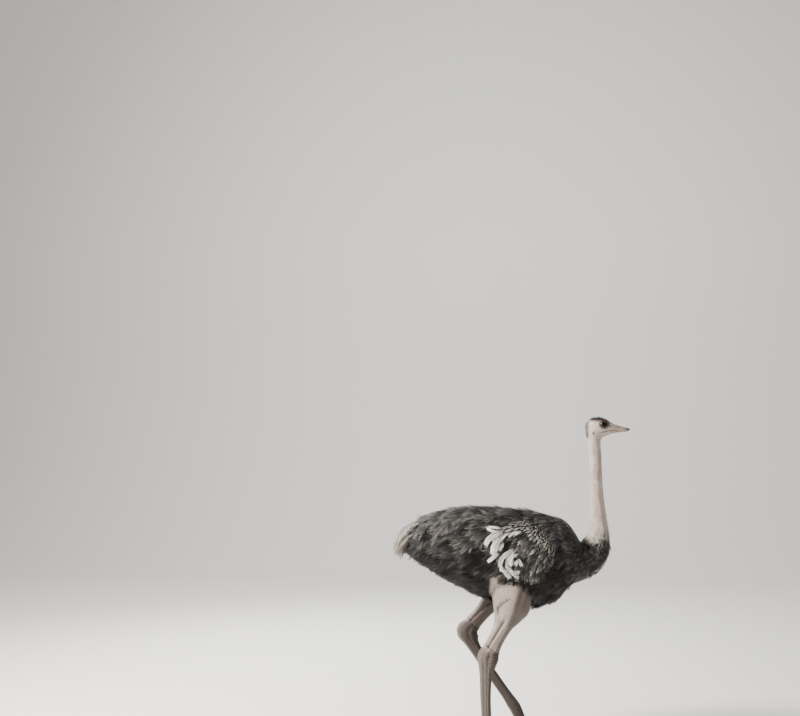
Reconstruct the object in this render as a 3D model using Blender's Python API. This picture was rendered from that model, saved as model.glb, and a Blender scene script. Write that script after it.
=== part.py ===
"""A cock ostrich at life size, walking: its weight on the right foot, the left one drawn up on its toe tip.

Metres, +Z up, beak towards +X and its left side towards +Y. The forms are swept through a few sections each,
parted where a person would name the parts, and set down on the floor at Z = 0.
"""

import math

import bmesh
import bpy
from mathutils import Vector

GAP = 0.0005  # left between parts that meet
SEAT = 0.0004  # left round a part that is let into another

# Trunk, with its feathers: place along the body, height of the back, height of the belly, half width.
TRUNK_LINES = (
    (0.690, 1.195, 1.140, 0.030),
    (0.675, 1.222, 1.085, 0.062),
    (0.642, 1.228, 1.038, 0.094),
    (0.590, 1.218, 1.004, 0.124),
    (0.538, 1.224, 0.982, 0.150),
    (0.500, 1.278, 0.968, 0.170),
    (0.456, 1.330, 0.940, 0.190),
    (0.400, 1.356, 0.888, 0.208),
    (0.305, 1.376, 0.842, 0.226),
    (0.180, 1.392, 0.836, 0.238),
    (0.050, 1.405, 0.860, 0.242),
    (-0.080, 1.406, 0.912, 0.234),
    (-0.190, 1.392, 0.966, 0.210),
    (-0.290, 1.366, 1.022, 0.178),
    (-0.370, 1.330, 1.074, 0.142),
    (-0.425, 1.278, 1.116, 0.102),
    (-0.455, 1.225, 1.155, 0.055),
)
TRUNK_FULLNESS = 2.25  # exponent of its cross-section: 2 is an ellipse, more is squarer

# Neck, from the skull down to the breast: centre x and z, half width, half size behind and in front.
NECK_LINES = (
    (0.604, 1.842, 0.034, 0.034, 0.034),
    (0.613, 1.790, 0.032, 0.034, 0.034),
    (0.618, 1.725, 0.031, 0.034, 0.034),
    (0.621, 1.640, 0.031, 0.034, 0.034),
    (0.623, 1.541, 0.033, 0.036, 0.036),
    (0.628, 1.440, 0.036, 0.040, 0.039),
    (0.637, 1.340, 0.041, 0.046, 0.044),
    (0.642, 1.265, 0.050, 0.053, 0.049),
    (0.634, 1.205, 0.064, 0.072, 0.056),
    (0.622, 1.150, 0.070, 0.074, 0.050),
)
HEAD_CUT = 1.2  # station of the neck where the head ends

# Head, from the forehead back to the nape: place along it, crown height, jaw height, half width.
HEAD_LINES = (
    (0.742, 1.8600, 1.8250, 0.018),
    (0.728, 1.8700, 1.8180, 0.0255),
    (0.706, 1.8820, 1.8100, 0.031),
    (0.684, 1.8940, 1.8020, 0.0355),
    (0.658, 1.9040, 1.7950, 0.0390),
    (0.630, 1.9080, 1.7880, 0.0405),
    (0.602, 1.9020, 1.7850, 0.0390),
    (0.581, 1.8850, 1.7880, 0.0335),
    (0.568, 1.8580, 1.8050, 0.0210),
)

# Bill, from its tip back: place along it, height of the upper half, depth of the lower half, half width.
GAPE_HEIGHT = 1.8330
BILL_LINES = (
    (0.8150, 0.0035, 0.0015, 0.0035),
    (0.8120, 0.0075, 0.0030, 0.0080),
    (0.8040, 0.0120, 0.0050, 0.0125),
    (0.7880, 0.0165, 0.0075, 0.0170),
    (0.7600, 0.0235, 0.0110, 0.0225),
    (0.7300, 0.0320, 0.0150, 0.0265),
    (0.7060, 0.0370, 0.0180, 0.0290),
    (0.6920, 0.0370, 0.0190, 0.0290),
)

EYE_PLACE = (0.6640, 0.0223, 1.8660)
EYE_RADIUS = 0.0215
EAR_PLACE = (0.6080, 0.0400, 1.8160)
EAR_RADIUS = 0.0070

# Tail plumes, from the rump out and down: centre x and z, half width, outer and inner half thickness.
TAIL_LINES = (
    (-0.330, 1.278, 0.070, 0.055, 0.055),
    (-0.385, 1.276, 0.108, 0.054, 0.052),
    (-0.440, 1.243, 0.130, 0.054, 0.050),
    (-0.480, 1.196, 0.134, 0.050, 0.044),
    (-0.497, 1.152, 0.120, 0.038, 0.036),
    (-0.497, 1.118, 0.088, 0.024, 0.026),
    (-0.490, 1.094, 0.045, 0.010, 0.010),
)

# Pads on the flank, seen from the side: centre x and z, reach fore, aft, up and down, thickness, slant, curl.
# The slant is how far the rear of a pad rises, per metre along it, and the curl how far its ends bend forward.
WING = (0.215, 1.172, 0.165, 0.160, 0.155, 0.150, 0.050, 0.15, 0.0)
UPPER_PLUMES = (0.052, 1.240, 0.064, 0.058, 0.070, 0.104, 0.040, -0.35, 0.030)
LOWER_PLUMES = (0.128, 1.094, 0.060, 0.052, 0.090, 0.078, 0.044, -0.20, 0.034)
PAD_EDGE = 0.006
PAD_LIFT = 0.002  # over the trunk, which bulges between its own points

# Legs: the joints' places, right (+1 weight bearing) and left (drawn up).
LEGS = {
    "right": {"knee": (0.215, -0.135, 1.020), "hock": (0.010, -0.080, 0.573), "ball": (0.000, -0.036, 0.083)},
    "left": {"knee": (0.200, 0.135, 1.054), "hock": (-0.113, 0.115, 0.679), "ball": (0.167, 0.102, 0.2458)},
}
# Share of the way from knee to hock, half width, half size behind, half size in front.
DRUMSTICK = (
    (0.00, 0.070, 0.125, 0.062),
    (0.12, 0.080, 0.148, 0.078),
    (0.24, 0.084, 0.144, 0.091),
    (0.35, 0.078, 0.118, 0.098),
    (0.46, 0.064, 0.085, 0.078),
    (0.58, 0.050, 0.055, 0.055),
    (0.70, 0.041, 0.046, 0.045),
    (0.82, 0.036, 0.047, 0.043),
    (0.93, 0.033, 0.046, 0.045),
)
# Share of the way from hock to ball of the foot, and the same half sizes.
SHANK = (
    (-0.09, 0.034, 0.048, 0.050),
    (-0.03, 0.042, 0.058, 0.059),
    (0.03, 0.043, 0.058, 0.056),
    (0.09, 0.037, 0.053, 0.044),
    (0.16, 0.031, 0.048, 0.028),
    (0.26, 0.0270, 0.0445, 0.0225),
    (0.45, 0.0250, 0.0405, 0.0200),
    (0.66, 0.0255, 0.0335, 0.0235),
    (0.80, 0.0270, 0.0300, 0.0280),
    (0.92, 0.0350, 0.0330, 0.0340),
    (1.02, 0.0375, 0.0355, 0.0365),
    (1.08, 0.0240, 0.0190, 0.0210),
)
KNEE_ROUNDING = 0.06

# Toes: length of each phalanx, its pitch in degrees on the standing and on the hanging foot, and half sizes.
INNER_TOE = {
    "lengths": (0.080, 0.070, 0.054, 0.036),
    "standing": (-52, -6, -2, -8),
    "hanging": (-70, -90, -103, -106),
    "half_widths": (0.028, 0.0285, 0.0275, 0.0255, 0.018),
    "half_heights": (0.032, 0.0290, 0.0265, 0.0245, 0.017),
    "splay": 3,
}
OUTER_TOE = {
    "lengths": (0.062, 0.042, 0.030, 0.018),
    "standing": (-50, -18, -7, -4),
    "hanging": (-58, -76, -92, -96),
    "half_widths": (0.023, 0.0220, 0.0210, 0.0195, 0.013),
    "half_heights": (0.028, 0.0240, 0.0225, 0.0205, 0.013),
    "splay": 32,
}
CLAW_LENGTH = 0.046
CLAW_HALF_WIDTH = 0.0115
CLAW_HALF_HEIGHT = 0.0085
CLAW_REACH = 0.014  # how far it stands past the toe

COLOURS = {
    "black_plumage": ((0.020, 0.018, 0.017), 0.75),
    "white_plumage": ((0.80, 0.77, 0.70), 0.70),
    "bare_skin": ((0.62, 0.49, 0.43), 0.55),
    "scaly_skin": ((0.42, 0.33, 0.28), 0.50),
    "bill_horn": ((0.50, 0.40, 0.31), 0.35),
    "claw_horn": ((0.16, 0.13, 0.11), 0.40),
    "eye": ((0.07, 0.035, 0.02), 0.08),
}


def clear_scene():
    """Removes whatever the scene holds."""
    for held in list(bpy.data.objects):
        bpy.data.objects.remove(held)


def make_material(name):
    """One of the COLOURS as a Principled material."""
    colour, roughness = COLOURS[name]
    made = bpy.data.materials.new(name)
    made.use_nodes = True
    shader = made.node_tree.nodes["Principled BSDF"]
    shader.inputs["Base Color"].default_value = (*colour, 1.0)
    shader.inputs["Roughness"].default_value = roughness
    return made


def through(rows, station):
    """The rows of numbers as a smooth curve, read at a station between 0 and the last row (Catmull-Rom)."""
    last = len(rows) - 1
    start = min(int(station), last - 1)
    t = station - start
    picked = [rows[min(max(start + k, 0), last)] for k in (-1, 0, 1, 2)]
    return [
        0.5 * (2 * b + (c - a) * t + (2 * a - 5 * b + 4 * c - d) * t * t + (3 * b - a - 3 * c + d) * t**3)
        for a, b, c, d in zip(*picked)
    ]


def object_from(name, vertices, faces, material, helper=False):
    """A mesh object with its faces turned outwards. A helper is not part of the animal."""
    mesh = bpy.data.meshes.new(name)
    shape = bmesh.new()
    made = [shape.verts.new(v) for v in vertices]
    for face in faces:
        shape.faces.new([made[i] for i in face])
    bmesh.ops.recalc_face_normals(shape, faces=shape.faces)
    shape.to_mesh(mesh)
    shape.free()
    mesh.shade_smooth()
    item = bpy.data.objects.new(name, mesh)
    bpy.context.scene.collection.objects.link(item)
    if helper:
        item.hide_render = True
        item.display_type = "WIRE"
    else:
        mesh.materials.append(material)
    return item


class Form:
    """A rounded form swept along a line of sections, from head to tail or from top to toe.

    Each section holds a centre, a half width, a half size on the back's side and one on the front's side.
    """

    def __init__(self, sections, fullness=2.0, along=None):
        self.sections = [tuple(section) for section in sections]
        self.fullness = fullness
        self.along = along

    def ring(self, station, sides, grow=0.0, beyond=0.0):
        """The points round one section. Beyond moves them along the line, and grow swells them."""
        x, y, z, wide, back, front = through(self.sections, station)
        before = Vector(through(self.sections, max(station - 0.05, 0.0))[:3])
        after = Vector(through(self.sections, min(station + 0.05, len(self.sections) - 1))[:3])
        along = Vector(self.along) if self.along else (after - before).normalized()
        side = Vector((0.0, 1.0, 0.0))
        side = (side - side.dot(along) * along).normalized()
        rear = side.cross(along)
        centre = Vector((x, y, z)) + along * beyond
        points = []
        for k in range(sides):
            angle = 2 * math.pi * k / sides
            c, s = math.cos(angle), math.sin(angle)
            size = (abs(c) ** self.fullness + abs(s) ** self.fullness) ** (-1 / self.fullness)
            deep = (back if s > 0 else front) + grow
            points.append(centre + side * (wide + grow) * c * size + rear * deep * s * size)
        return points

    def swept(self, name, material, rings, sides, start=0.0, end=None, grow=0.0, helper=False):
        """The form as a closed object, from one station to another, with flat ends."""
        end = len(self.sections) - 1 if end is None else end
        vertices, faces = [], []
        for i in range(rings):
            station = start + (end - start) * i / (rings - 1)
            beyond = -grow if i == 0 else grow if i == rings - 1 else 0.0
            vertices += self.ring(station, sides, grow, beyond)
        for i in range(rings - 1):
            for k in range(sides):
                a, b = i * sides + k, i * sides + (k + 1) % sides
                faces.append((a, b, b + sides, a + sides))
        faces.append(tuple(range(sides)))
        faces.append(tuple((rings - 1) * sides + k for k in range(sides)))
        return object_from(name, vertices, faces, material, helper)


def from_profile(lines, fullness=2.0):
    """A form along X from rows of place, upper height, lower height and half width."""
    sections = [(x, 0.0, (top + low) / 2, wide, (top - low) / 2, (top - low) / 2) for x, top, low, wide in lines]
    return Form(sections, fullness, along=(-1.0, 0.0, 0.0))


def boolean(item, operation, *others, solver="EXACT"):
    """Cuts item with the others, or joins them to it."""
    for other in others:
        modifier = item.modifiers.new(f"{operation.lower()} {other.name}", "BOOLEAN")
        modifier.operation = operation
        modifier.object = other
        modifier.solver = solver


def flatten_soles(item):
    """Brings whatever lies under the floor up to it, which leaves small flats to stand on."""
    for vertex in item.data.vertices:
        vertex.co.z = max(vertex.co.z, 0.0)


def trunk_half_width(x, z):
    """How far the trunk reaches from the middle plane at that place along it and that height."""
    xs = [row[0] for row in TRUNK_LINES]
    index = next((i for i in range(len(xs) - 1) if xs[i + 1] <= x), len(xs) - 2)
    low, high = float(index), float(index + 1)
    for _ in range(30):
        middle = (low + high) / 2
        if through(TRUNK_LINES, middle)[0] > x:
            low = middle
        else:
            high = middle
    _, top, bottom, wide = through(TRUNK_LINES, low)
    share = min(abs(z - (top + bottom) / 2) / ((top - bottom) / 2), 0.97)
    return wide * (1 - share**TRUNK_FULLNESS) ** (1 / TRUNK_FULLNESS)


def build_trunk(materials):
    """Trunk, neck and tail, with the helper that cuts what sits on the trunk."""
    trunk = from_profile(TRUNK_LINES, TRUNK_FULLNESS)
    trunk.swept("trunk", materials["black_plumage"], rings=26, sides=22)
    cutter = trunk.swept("trunk_cutter", None, rings=26, sides=22, grow=3 * GAP, helper=True)

    neck = Form([(x, 0.0, z, wide, back, front) for x, z, wide, back, front in NECK_LINES])
    bare = neck.swept("neck", materials["bare_skin"], 14, 16, HEAD_CUT + GAP * 10)
    boolean(bare, "DIFFERENCE", cutter, solver="MANIFOLD")

    tail = Form([(x, 0.0, z, wide, back, front) for x, z, wide, back, front in TAIL_LINES], fullness=2.1)
    plumes = tail.swept("tail", materials["white_plumage"], 9, 16)
    boolean(plumes, "DIFFERENCE", cutter)
    return cutter, neck


def ball(name, radius, place, material, segments, rings):
    """A round body. Without a material it is a helper."""
    shape = bmesh.new()
    bmesh.ops.create_uvsphere(shape, u_segments=segments, v_segments=rings, radius=radius)
    for vertex in shape.verts:
        vertex.co += Vector(place)
    vertices = [vertex.co.copy() for vertex in shape.verts]
    faces = [[vertex.index for vertex in face.verts] for face in shape.faces]
    shape.free()
    return object_from(name, vertices, faces, material, helper=material is None)


def build_eyes(materials):
    """Both eyeballs, and the helpers that seat them and open the ears."""
    seats = []
    for side, sign in (("right", -1), ("left", 1)):
        eye = (EYE_PLACE[0], EYE_PLACE[1] * sign, EYE_PLACE[2])
        ear = (EAR_PLACE[0], EAR_PLACE[1] * sign, EAR_PLACE[2])
        ball(f"eye_{side}", EYE_RADIUS, eye, materials["eye"], 12, 8)
        seats.append(ball(f"seat_{side}", EYE_RADIUS + SEAT, eye, None, 12, 8))
        seats.append(ball(f"ear_{side}", EAR_RADIUS, ear, None, 6, 4))
    return seats


def build_head(materials, neck):
    """Head with the top of the neck, the two halves of the bill and the eyes."""
    cutters = []
    for name, column, sign in (("bill_upper", 1, 1), ("bill_lower", 2, -1)):
        sections = []
        for row in BILL_LINES:
            tall, flat = row[column], 0.0001
            reach = row[0] - (0.007 if sign < 0 else 0.0)
            level = GAPE_HEIGHT + sign * GAP
            halves = (tall, flat) if sign > 0 else (flat, tall)
            sections.append((reach, 0.0, level, row[3] * (1.0 if sign > 0 else 0.94), *halves))
        half = Form(sections, fullness=2.2, along=(-1.0, 0.0, 0.0))
        half.swept(name, materials["bill_horn"], 9, 12)
        cutters.append(half.swept(f"{name}_cutter", None, 9, 12, grow=SEAT, helper=True))
    head = from_profile(HEAD_LINES, fullness=2.1).swept("head", materials["bare_skin"], 14, 18)
    nape = neck.swept("nape", None, 4, 14, 0.0, HEAD_CUT, helper=True)
    boolean(head, "UNION", nape)
    boolean(head, "DIFFERENCE", *cutters, *build_eyes(materials))


def build_pad(name, sign, pad, material, spokes, cutter=False):
    """A pad on the flank: its inside follows the trunk, and it thins to its oval edge."""
    x0, z0, fore, aft, up, down, thickness, slant, curl = pad
    hoops = 4
    grow = GAP if cutter else 0.0
    outer, inner = [], []
    for hoop in range(hoops + 1):
        share = math.sin(math.pi / 2 * hoop / hoops)
        for spoke in range(spokes):
            angle = 2 * math.pi * spoke / spokes
            c, s = math.cos(angle), math.sin(angle)
            along = c * ((fore if c > 0 else aft) + grow) * share
            x = x0 + along + curl * (s * share) ** 2
            z = z0 + s * ((up if s > 0 else down) + grow) * share - slant * along
            base = trunk_half_width(x, z) + PAD_LIFT
            thick = PAD_EDGE + (thickness - PAD_EDGE) * math.sqrt(max(1 - share**2.4, 0.0))
            outer.append((x, sign * (base + (0.12 if cutter else thick)), z))
            inner.append((x, sign * (base - (0.02 if cutter else 0.0)), z))
    vertices, faces = [], []
    for layer in (outer, inner):
        first = len(vertices)
        vertices.append(layer[0])
        vertices += layer[spokes:]
        for k in range(spokes):
            faces.append((first, first + 1 + k, first + 1 + (k + 1) % spokes))
        for hoop in range(hoops - 1):
            ring = first + 1 + hoop * spokes
            for k in range(spokes):
                a, b = ring + k, ring + (k + 1) % spokes
                faces.append((a, b, b + spokes, a + spokes))
    rim = 1 + (hoops - 1) * spokes
    back_rim = rim + 1 + hoops * spokes
    for k in range(spokes):
        a, b = rim + k, rim + (k + 1) % spokes
        c, d = back_rim + k, back_rim + (k + 1) % spokes
        faces.append((a, b, d, c))
    return object_from(name, vertices, faces, material, helper=cutter)


def build_wing(side, sign, materials):
    """The folded wing, notched for the two bunches of white plumes that hang from it."""
    wing = build_pad(f"wing_{side}", sign, WING, materials["black_plumage"], 20)
    for label, pad in (("upper", UPPER_PLUMES), ("lower", LOWER_PLUMES)):
        build_pad(f"{label}_plumes_{side}", sign, pad, materials["white_plumage"], 12)
        notch = build_pad(f"{label}_notch_{side}", sign, pad, None, 12, cutter=True)
        boolean(wing, "DIFFERENCE", notch)


def between(start, end, rows):
    """Sections at shares of the way between two joints."""
    start, end = Vector(start), Vector(end)
    return [(*(start + (end - start) * share), *sizes) for share, *sizes in rows]


def toe_form(ball, toe, stance, sign):
    """A toe as a form: its phalanges follow one another, each at its own pitch."""
    yaw = math.radians(toe["splay"]) * sign
    point = Vector(ball)
    sections = []
    for i, (wide, tall) in enumerate(zip(toe["half_widths"], toe["half_heights"])):
        sections.append((*point, wide, tall, tall))
        if i < len(toe["lengths"]):
            pitch = math.radians(toe[stance][i])
            flat = toe["lengths"][i] * math.cos(pitch)
            point = point + Vector((flat * math.cos(yaw), flat * math.sin(yaw), toe["lengths"][i] * math.sin(pitch)))
    return Form(sections, fullness=2.3)


def claw_form(toe):
    """The nail on a toe's last joint, standing a little past it."""
    tip, before = Vector(toe.sections[-1][:3]), Vector(toe.sections[-2][:3])
    along = (tip - before).normalized()
    side = Vector((0.0, 1.0, 0.0))
    upper = -(side - side.dot(along) * along).normalized().cross(along)
    root = tip + along * CLAW_REACH - along * CLAW_LENGTH
    sections = []
    for share, size, lift in ((0.0, 0.60, 0.0080), (0.3, 1.0, 0.0090), (0.62, 0.88, 0.0070), (0.88, 0.52, 0.0025), (1.0, 0.2, -0.001)):
        place = root + along * CLAW_LENGTH * share + upper * lift
        sections.append((*place, CLAW_HALF_WIDTH * size, CLAW_HALF_HEIGHT * size, CLAW_HALF_HEIGHT * size))
    return Form(sections, fullness=2.0)


def build_leg(side, sign, materials, trunk_cutter):
    """Drumstick, shank, two toes and the claw of one leg."""
    joints = LEGS[side]
    stance = "standing" if side == "right" else "hanging"
    drumstick = Form(between(joints["knee"], joints["hock"], DRUMSTICK))
    thigh = drumstick.swept(f"thigh_{side}", materials["bare_skin"], 11, 14)
    shank_form = Form(between(joints["hock"], joints["ball"], SHANK))
    shank = shank_form.swept(f"shank_{side}", materials["scaly_skin"], 15, 12)
    shank_cutter = shank_form.swept(f"shank_cutter_{side}", None, 15, 12, grow=GAP, helper=True)
    boolean(thigh, "DIFFERENCE", trunk_cutter, shank_cutter)
    taken = [shank_cutter]
    for label, toe in (("inner", INNER_TOE), ("outer", OUTER_TOE)):
        splay = sign if label == "outer" else -sign
        form = toe_form(joints["ball"], toe, stance, splay)
        rings = 16 if label == "inner" else 10
        made = form.swept(f"toe_{label}_{side}", materials["scaly_skin"], rings, 10)
        flatten_soles(made)
        boolean(made, "DIFFERENCE", *taken, solver="MANIFOLD")
        if label == "inner":
            cutter = form.swept(f"toe_cutter_{side}", None, rings, 10, grow=GAP, helper=True)
            taken.append(cutter)
            nail = claw_form(form)
            claw = nail.swept(f"claw_{side}", materials["claw_horn"], 6, 8)
            flatten_soles(claw)
            seat = nail.swept(f"claw_cutter_{side}", None, 6, 8, grow=SEAT, helper=True)
            boolean(made, "DIFFERENCE", seat, solver="MANIFOLD")
    return thigh


def set_on_origin():
    """Moves everything so that the middle of the whole model's base is at the origin."""
    bpy.context.view_layer.update()
    graph = bpy.context.evaluated_depsgraph_get()
    corners = []
    for item in bpy.data.objects:
        if not item.hide_render:
            made = item.evaluated_get(graph)
            corners += [made.matrix_world @ Vector(corner) for corner in made.bound_box]
    low = Vector([min(c[i] for c in corners) for i in range(3)])
    high = Vector([max(c[i] for c in corners) for i in range(3)])
    shift = Vector((-(low.x + high.x) / 2, -(low.y + high.y) / 2, -low.z))
    for item in bpy.data.objects:
        item.location += shift


def main():
    clear_scene()
    materials = {name: make_material(name) for name in COLOURS}
    trunk_cutter, neck = build_trunk(materials)
    build_head(materials, neck)
    for side, sign in (("right", -1), ("left", 1)):
        build_wing(side, sign, materials)
        build_leg(side, sign, materials, trunk_cutter)
    set_on_origin()


main()
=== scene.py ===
"""A cock ostrich at life size, dressed over its solids: one skin, horn, eyes and a coat of loose feathers.

Sizes are metres in the bird's own frame, in which the standing foot's joint is at X = 0. The frame's solids say
where that frame lies, and every mesh is shifted there as it is made.
"""

import logging
import math
from collections.abc import Callable, Iterator, Sequence
from contextlib import contextmanager
from dataclasses import dataclass, field
from enum import Enum

import bmesh
import bpy
import numpy as np
from bpy.types import Material, Mesh, Modifier, Node, NodeSocket, NodeTree, Object
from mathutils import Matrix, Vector, kdtree


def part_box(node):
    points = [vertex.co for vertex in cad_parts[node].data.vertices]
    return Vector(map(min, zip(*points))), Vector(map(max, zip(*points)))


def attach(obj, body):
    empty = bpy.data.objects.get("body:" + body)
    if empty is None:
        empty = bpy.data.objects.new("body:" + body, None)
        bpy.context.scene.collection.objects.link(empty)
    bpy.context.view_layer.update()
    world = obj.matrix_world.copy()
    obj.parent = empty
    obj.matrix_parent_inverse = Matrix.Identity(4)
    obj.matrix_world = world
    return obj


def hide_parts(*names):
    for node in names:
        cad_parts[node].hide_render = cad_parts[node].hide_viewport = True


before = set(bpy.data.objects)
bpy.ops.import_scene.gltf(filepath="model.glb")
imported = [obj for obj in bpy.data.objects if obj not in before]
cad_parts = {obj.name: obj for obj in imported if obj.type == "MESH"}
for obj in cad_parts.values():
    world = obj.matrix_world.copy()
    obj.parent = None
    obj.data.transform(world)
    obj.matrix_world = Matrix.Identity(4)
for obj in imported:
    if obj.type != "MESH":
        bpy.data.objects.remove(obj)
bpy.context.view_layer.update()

LOG = logging.getLogger("ostrich")
Array = np.ndarray
Place = tuple[float, float, float]
Rows = Sequence[Sequence[float]]
MM = 0.001
BILL_TIP_X = 0.815
SHIFT = np.array([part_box("bill_upper")[1][0] - BILL_TIP_X, 0.0, 0.0])
GRAVITY = np.array([0.0, 0.0, -1.0])
SHANK_PITCH = 0.0130  # from one scute to the next down the shank
TOE_PITCH = 0.0085
BEAD_PITCH = 0.012  # from one small scale to the next behind the scutes
PATCH = 0.003  # each tuft's share of its coat's map


class Side(Enum):
    """Which side of the bird, as the sign of its Y."""

    RIGHT = -1
    LEFT = 1

    @property
    def word(self) -> str:
        """The side's name in lower case."""
        return self.name.lower()


# Numbers, curves and meshes


def linear(code: str) -> tuple[float, ...]:
    """An sRGB hex colour as linear RGBA.

    Args:
        code: Six hex digits.

    Returns:
        Red, green, blue and an alpha of 1.
    """
    parts = [int(code[i : i + 2], 16) / 255 for i in (0, 2, 4)]
    red, green, blue = (c / 12.92 if c <= 0.04045 else ((c + 0.055) / 1.055) ** 2.4 for c in parts)
    return red, green, blue, 1.0


def unit(vectors: Array) -> Array:
    """The vectors at length 1."""
    return vectors / np.maximum(np.linalg.norm(vectors, axis=-1, keepdims=True), 1e-12)


def smooth(low: float, high: float, value: Array) -> Array:
    """A smooth step from 0 at low to 1 at high."""
    t = np.clip((value - low) / (high - low), 0.0, 1.0)
    return t * t * (3 - 2 * t)


def bell(value: Array, middle: float, width: float) -> Array:
    """A bump of 1 at the middle, nearly gone at twice the width."""
    return np.exp(-(((value - middle) / width) ** 2))


def through(rows: Array, stations: Array) -> Array:
    """Rows of numbers as a smooth curve, read at stations (Catmull-Rom).

    Args:
        rows: One row of numbers for each whole station.
        stations: Places between 0 and the last row.

    Returns:
        One row for each station.
    """
    last = len(rows) - 1
    start = np.clip(stations.astype(int), 0, last - 1)
    t = (stations - start)[:, None]
    a, b, c, d = (rows[np.clip(start + k, 0, last)] for k in (-1, 0, 1, 2))
    return 0.5 * (2 * b + (c - a) * t + (2 * a - 5 * b + 4 * c - d) * t**2 + (3 * b - a - 3 * c + d) * t**3)


def closed_object(name: str, points: Array, faces: Sequence) -> Object:
    """A mesh object from a closed form in the bird's frame, with its faces turned outwards.

    Args:
        name: The object's name.
        points: One row for each vertex.
        faces: Vertex numbers of each face.

    Returns:
        The object.
    """
    made = make_object(name, points, faces)
    turn_outwards(made)
    return made


def make_object(name: str, points: Array, faces: Sequence, shift: bool = True) -> Object:
    """A mesh object from points and faces, with its faces shaded smooth.

    Args:
        name: The object's name.
        points: One row for each vertex.
        faces: Vertex numbers of each face.
        shift: Whether the points are in the bird's frame and are moved to where the solids stand.

    Returns:
        The linked object, at the origin.
    """
    mesh = bpy.data.meshes.new(name)
    mesh.from_pydata((points + SHIFT if shift else points).tolist(), [], [list(map(int, f)) for f in faces])
    mesh.shade_smooth()
    made = bpy.data.objects.new(name, mesh)
    bpy.context.scene.collection.objects.link(made)
    return made


def store(mesh: Mesh, name: str, values: Array, kind: str = "FLOAT", domain: str = "POINT") -> None:
    """Stores numbers on a mesh as a named attribute.

    Args:
        mesh: The mesh.
        name: The attribute's name.
        values: One value or vector for each element.
        kind: The attribute's data type.
        domain: Which elements it is on.
    """
    held = mesh.attributes.get(name) or mesh.attributes.new(name, kind, domain)
    key = "vector" if kind in ("FLOAT_VECTOR", "FLOAT2") else "value"
    held.data.foreach_set(key, np.ascontiguousarray(values).ravel())


def mesh_points(mesh: Mesh) -> Array:
    """The mesh's vertices, back in the bird's frame.

    Args:
        mesh: The mesh.

    Returns:
        One row for each vertex.
    """
    flat = np.empty(len(mesh.vertices) * 3, np.float32)
    mesh.vertices.foreach_get("co", flat)
    return flat.reshape(-1, 3).astype(float) - SHIFT


@contextmanager
def edited(mesh: Mesh) -> Iterator[bmesh.types.BMesh]:
    """Opens a mesh for editing, and writes it back afterwards.

    Args:
        mesh: The mesh.

    Yields:
        Its editable form.
    """
    shape = bmesh.new()
    shape.from_mesh(mesh)
    yield shape
    shape.to_mesh(mesh)
    shape.free()


def nearest(points: Array) -> kdtree.KDTree:
    """Sorts points so that the nearest one to a place is found fast.

    Args:
        points: The points.

    Returns:
        The tree that finds them, by their order.
    """
    tree = kdtree.KDTree(len(points))
    for i, point in enumerate(points):
        tree.insert(point, i)
    tree.balance()
    return tree


def turn_outwards(made: Object) -> None:
    """Recalculates the faces of a closed mesh so that they point outwards.

    Args:
        made: The object whose mesh it is.
    """
    with edited(made.data) as shape:
        bmesh.ops.recalc_face_normals(shape, faces=shape.faces)
    made.data.shade_smooth()


def discard(objects: Sequence[Object]) -> None:
    """Removes objects that are no longer needed."""
    for each in objects:
        bpy.data.objects.remove(each)


def applied(made: Object, modifier: Modifier) -> Mesh:
    """Applies a modifier and removes it.

    Args:
        made: The object.
        modifier: Its modifier.

    Returns:
        A new mesh with the modifier's result, which isn't the object's yet.
    """
    bpy.context.view_layer.update()
    mesh = bpy.data.meshes.new_from_object(made.evaluated_get(bpy.context.evaluated_depsgraph_get()))
    made.modifiers.remove(modifier)
    return mesh


def finish_piece(made: Object, slot: str, material: Material, *nodes: str) -> None:
    """Gives a finished piece its material and body, and hides the solids it stands for.

    Args:
        made: The piece.
        slot: Not used.
        material: Its material.
        nodes: The solids it replaces.
    """
    made.data.materials.clear()
    made.data.materials.append(material)
    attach(made, "root")
    if nodes:
        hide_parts(*nodes)
    made.data.calc_loop_triangles()
    LOG.info("%s: %d triangles", made.name, len(made.data.loop_triangles))


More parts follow.
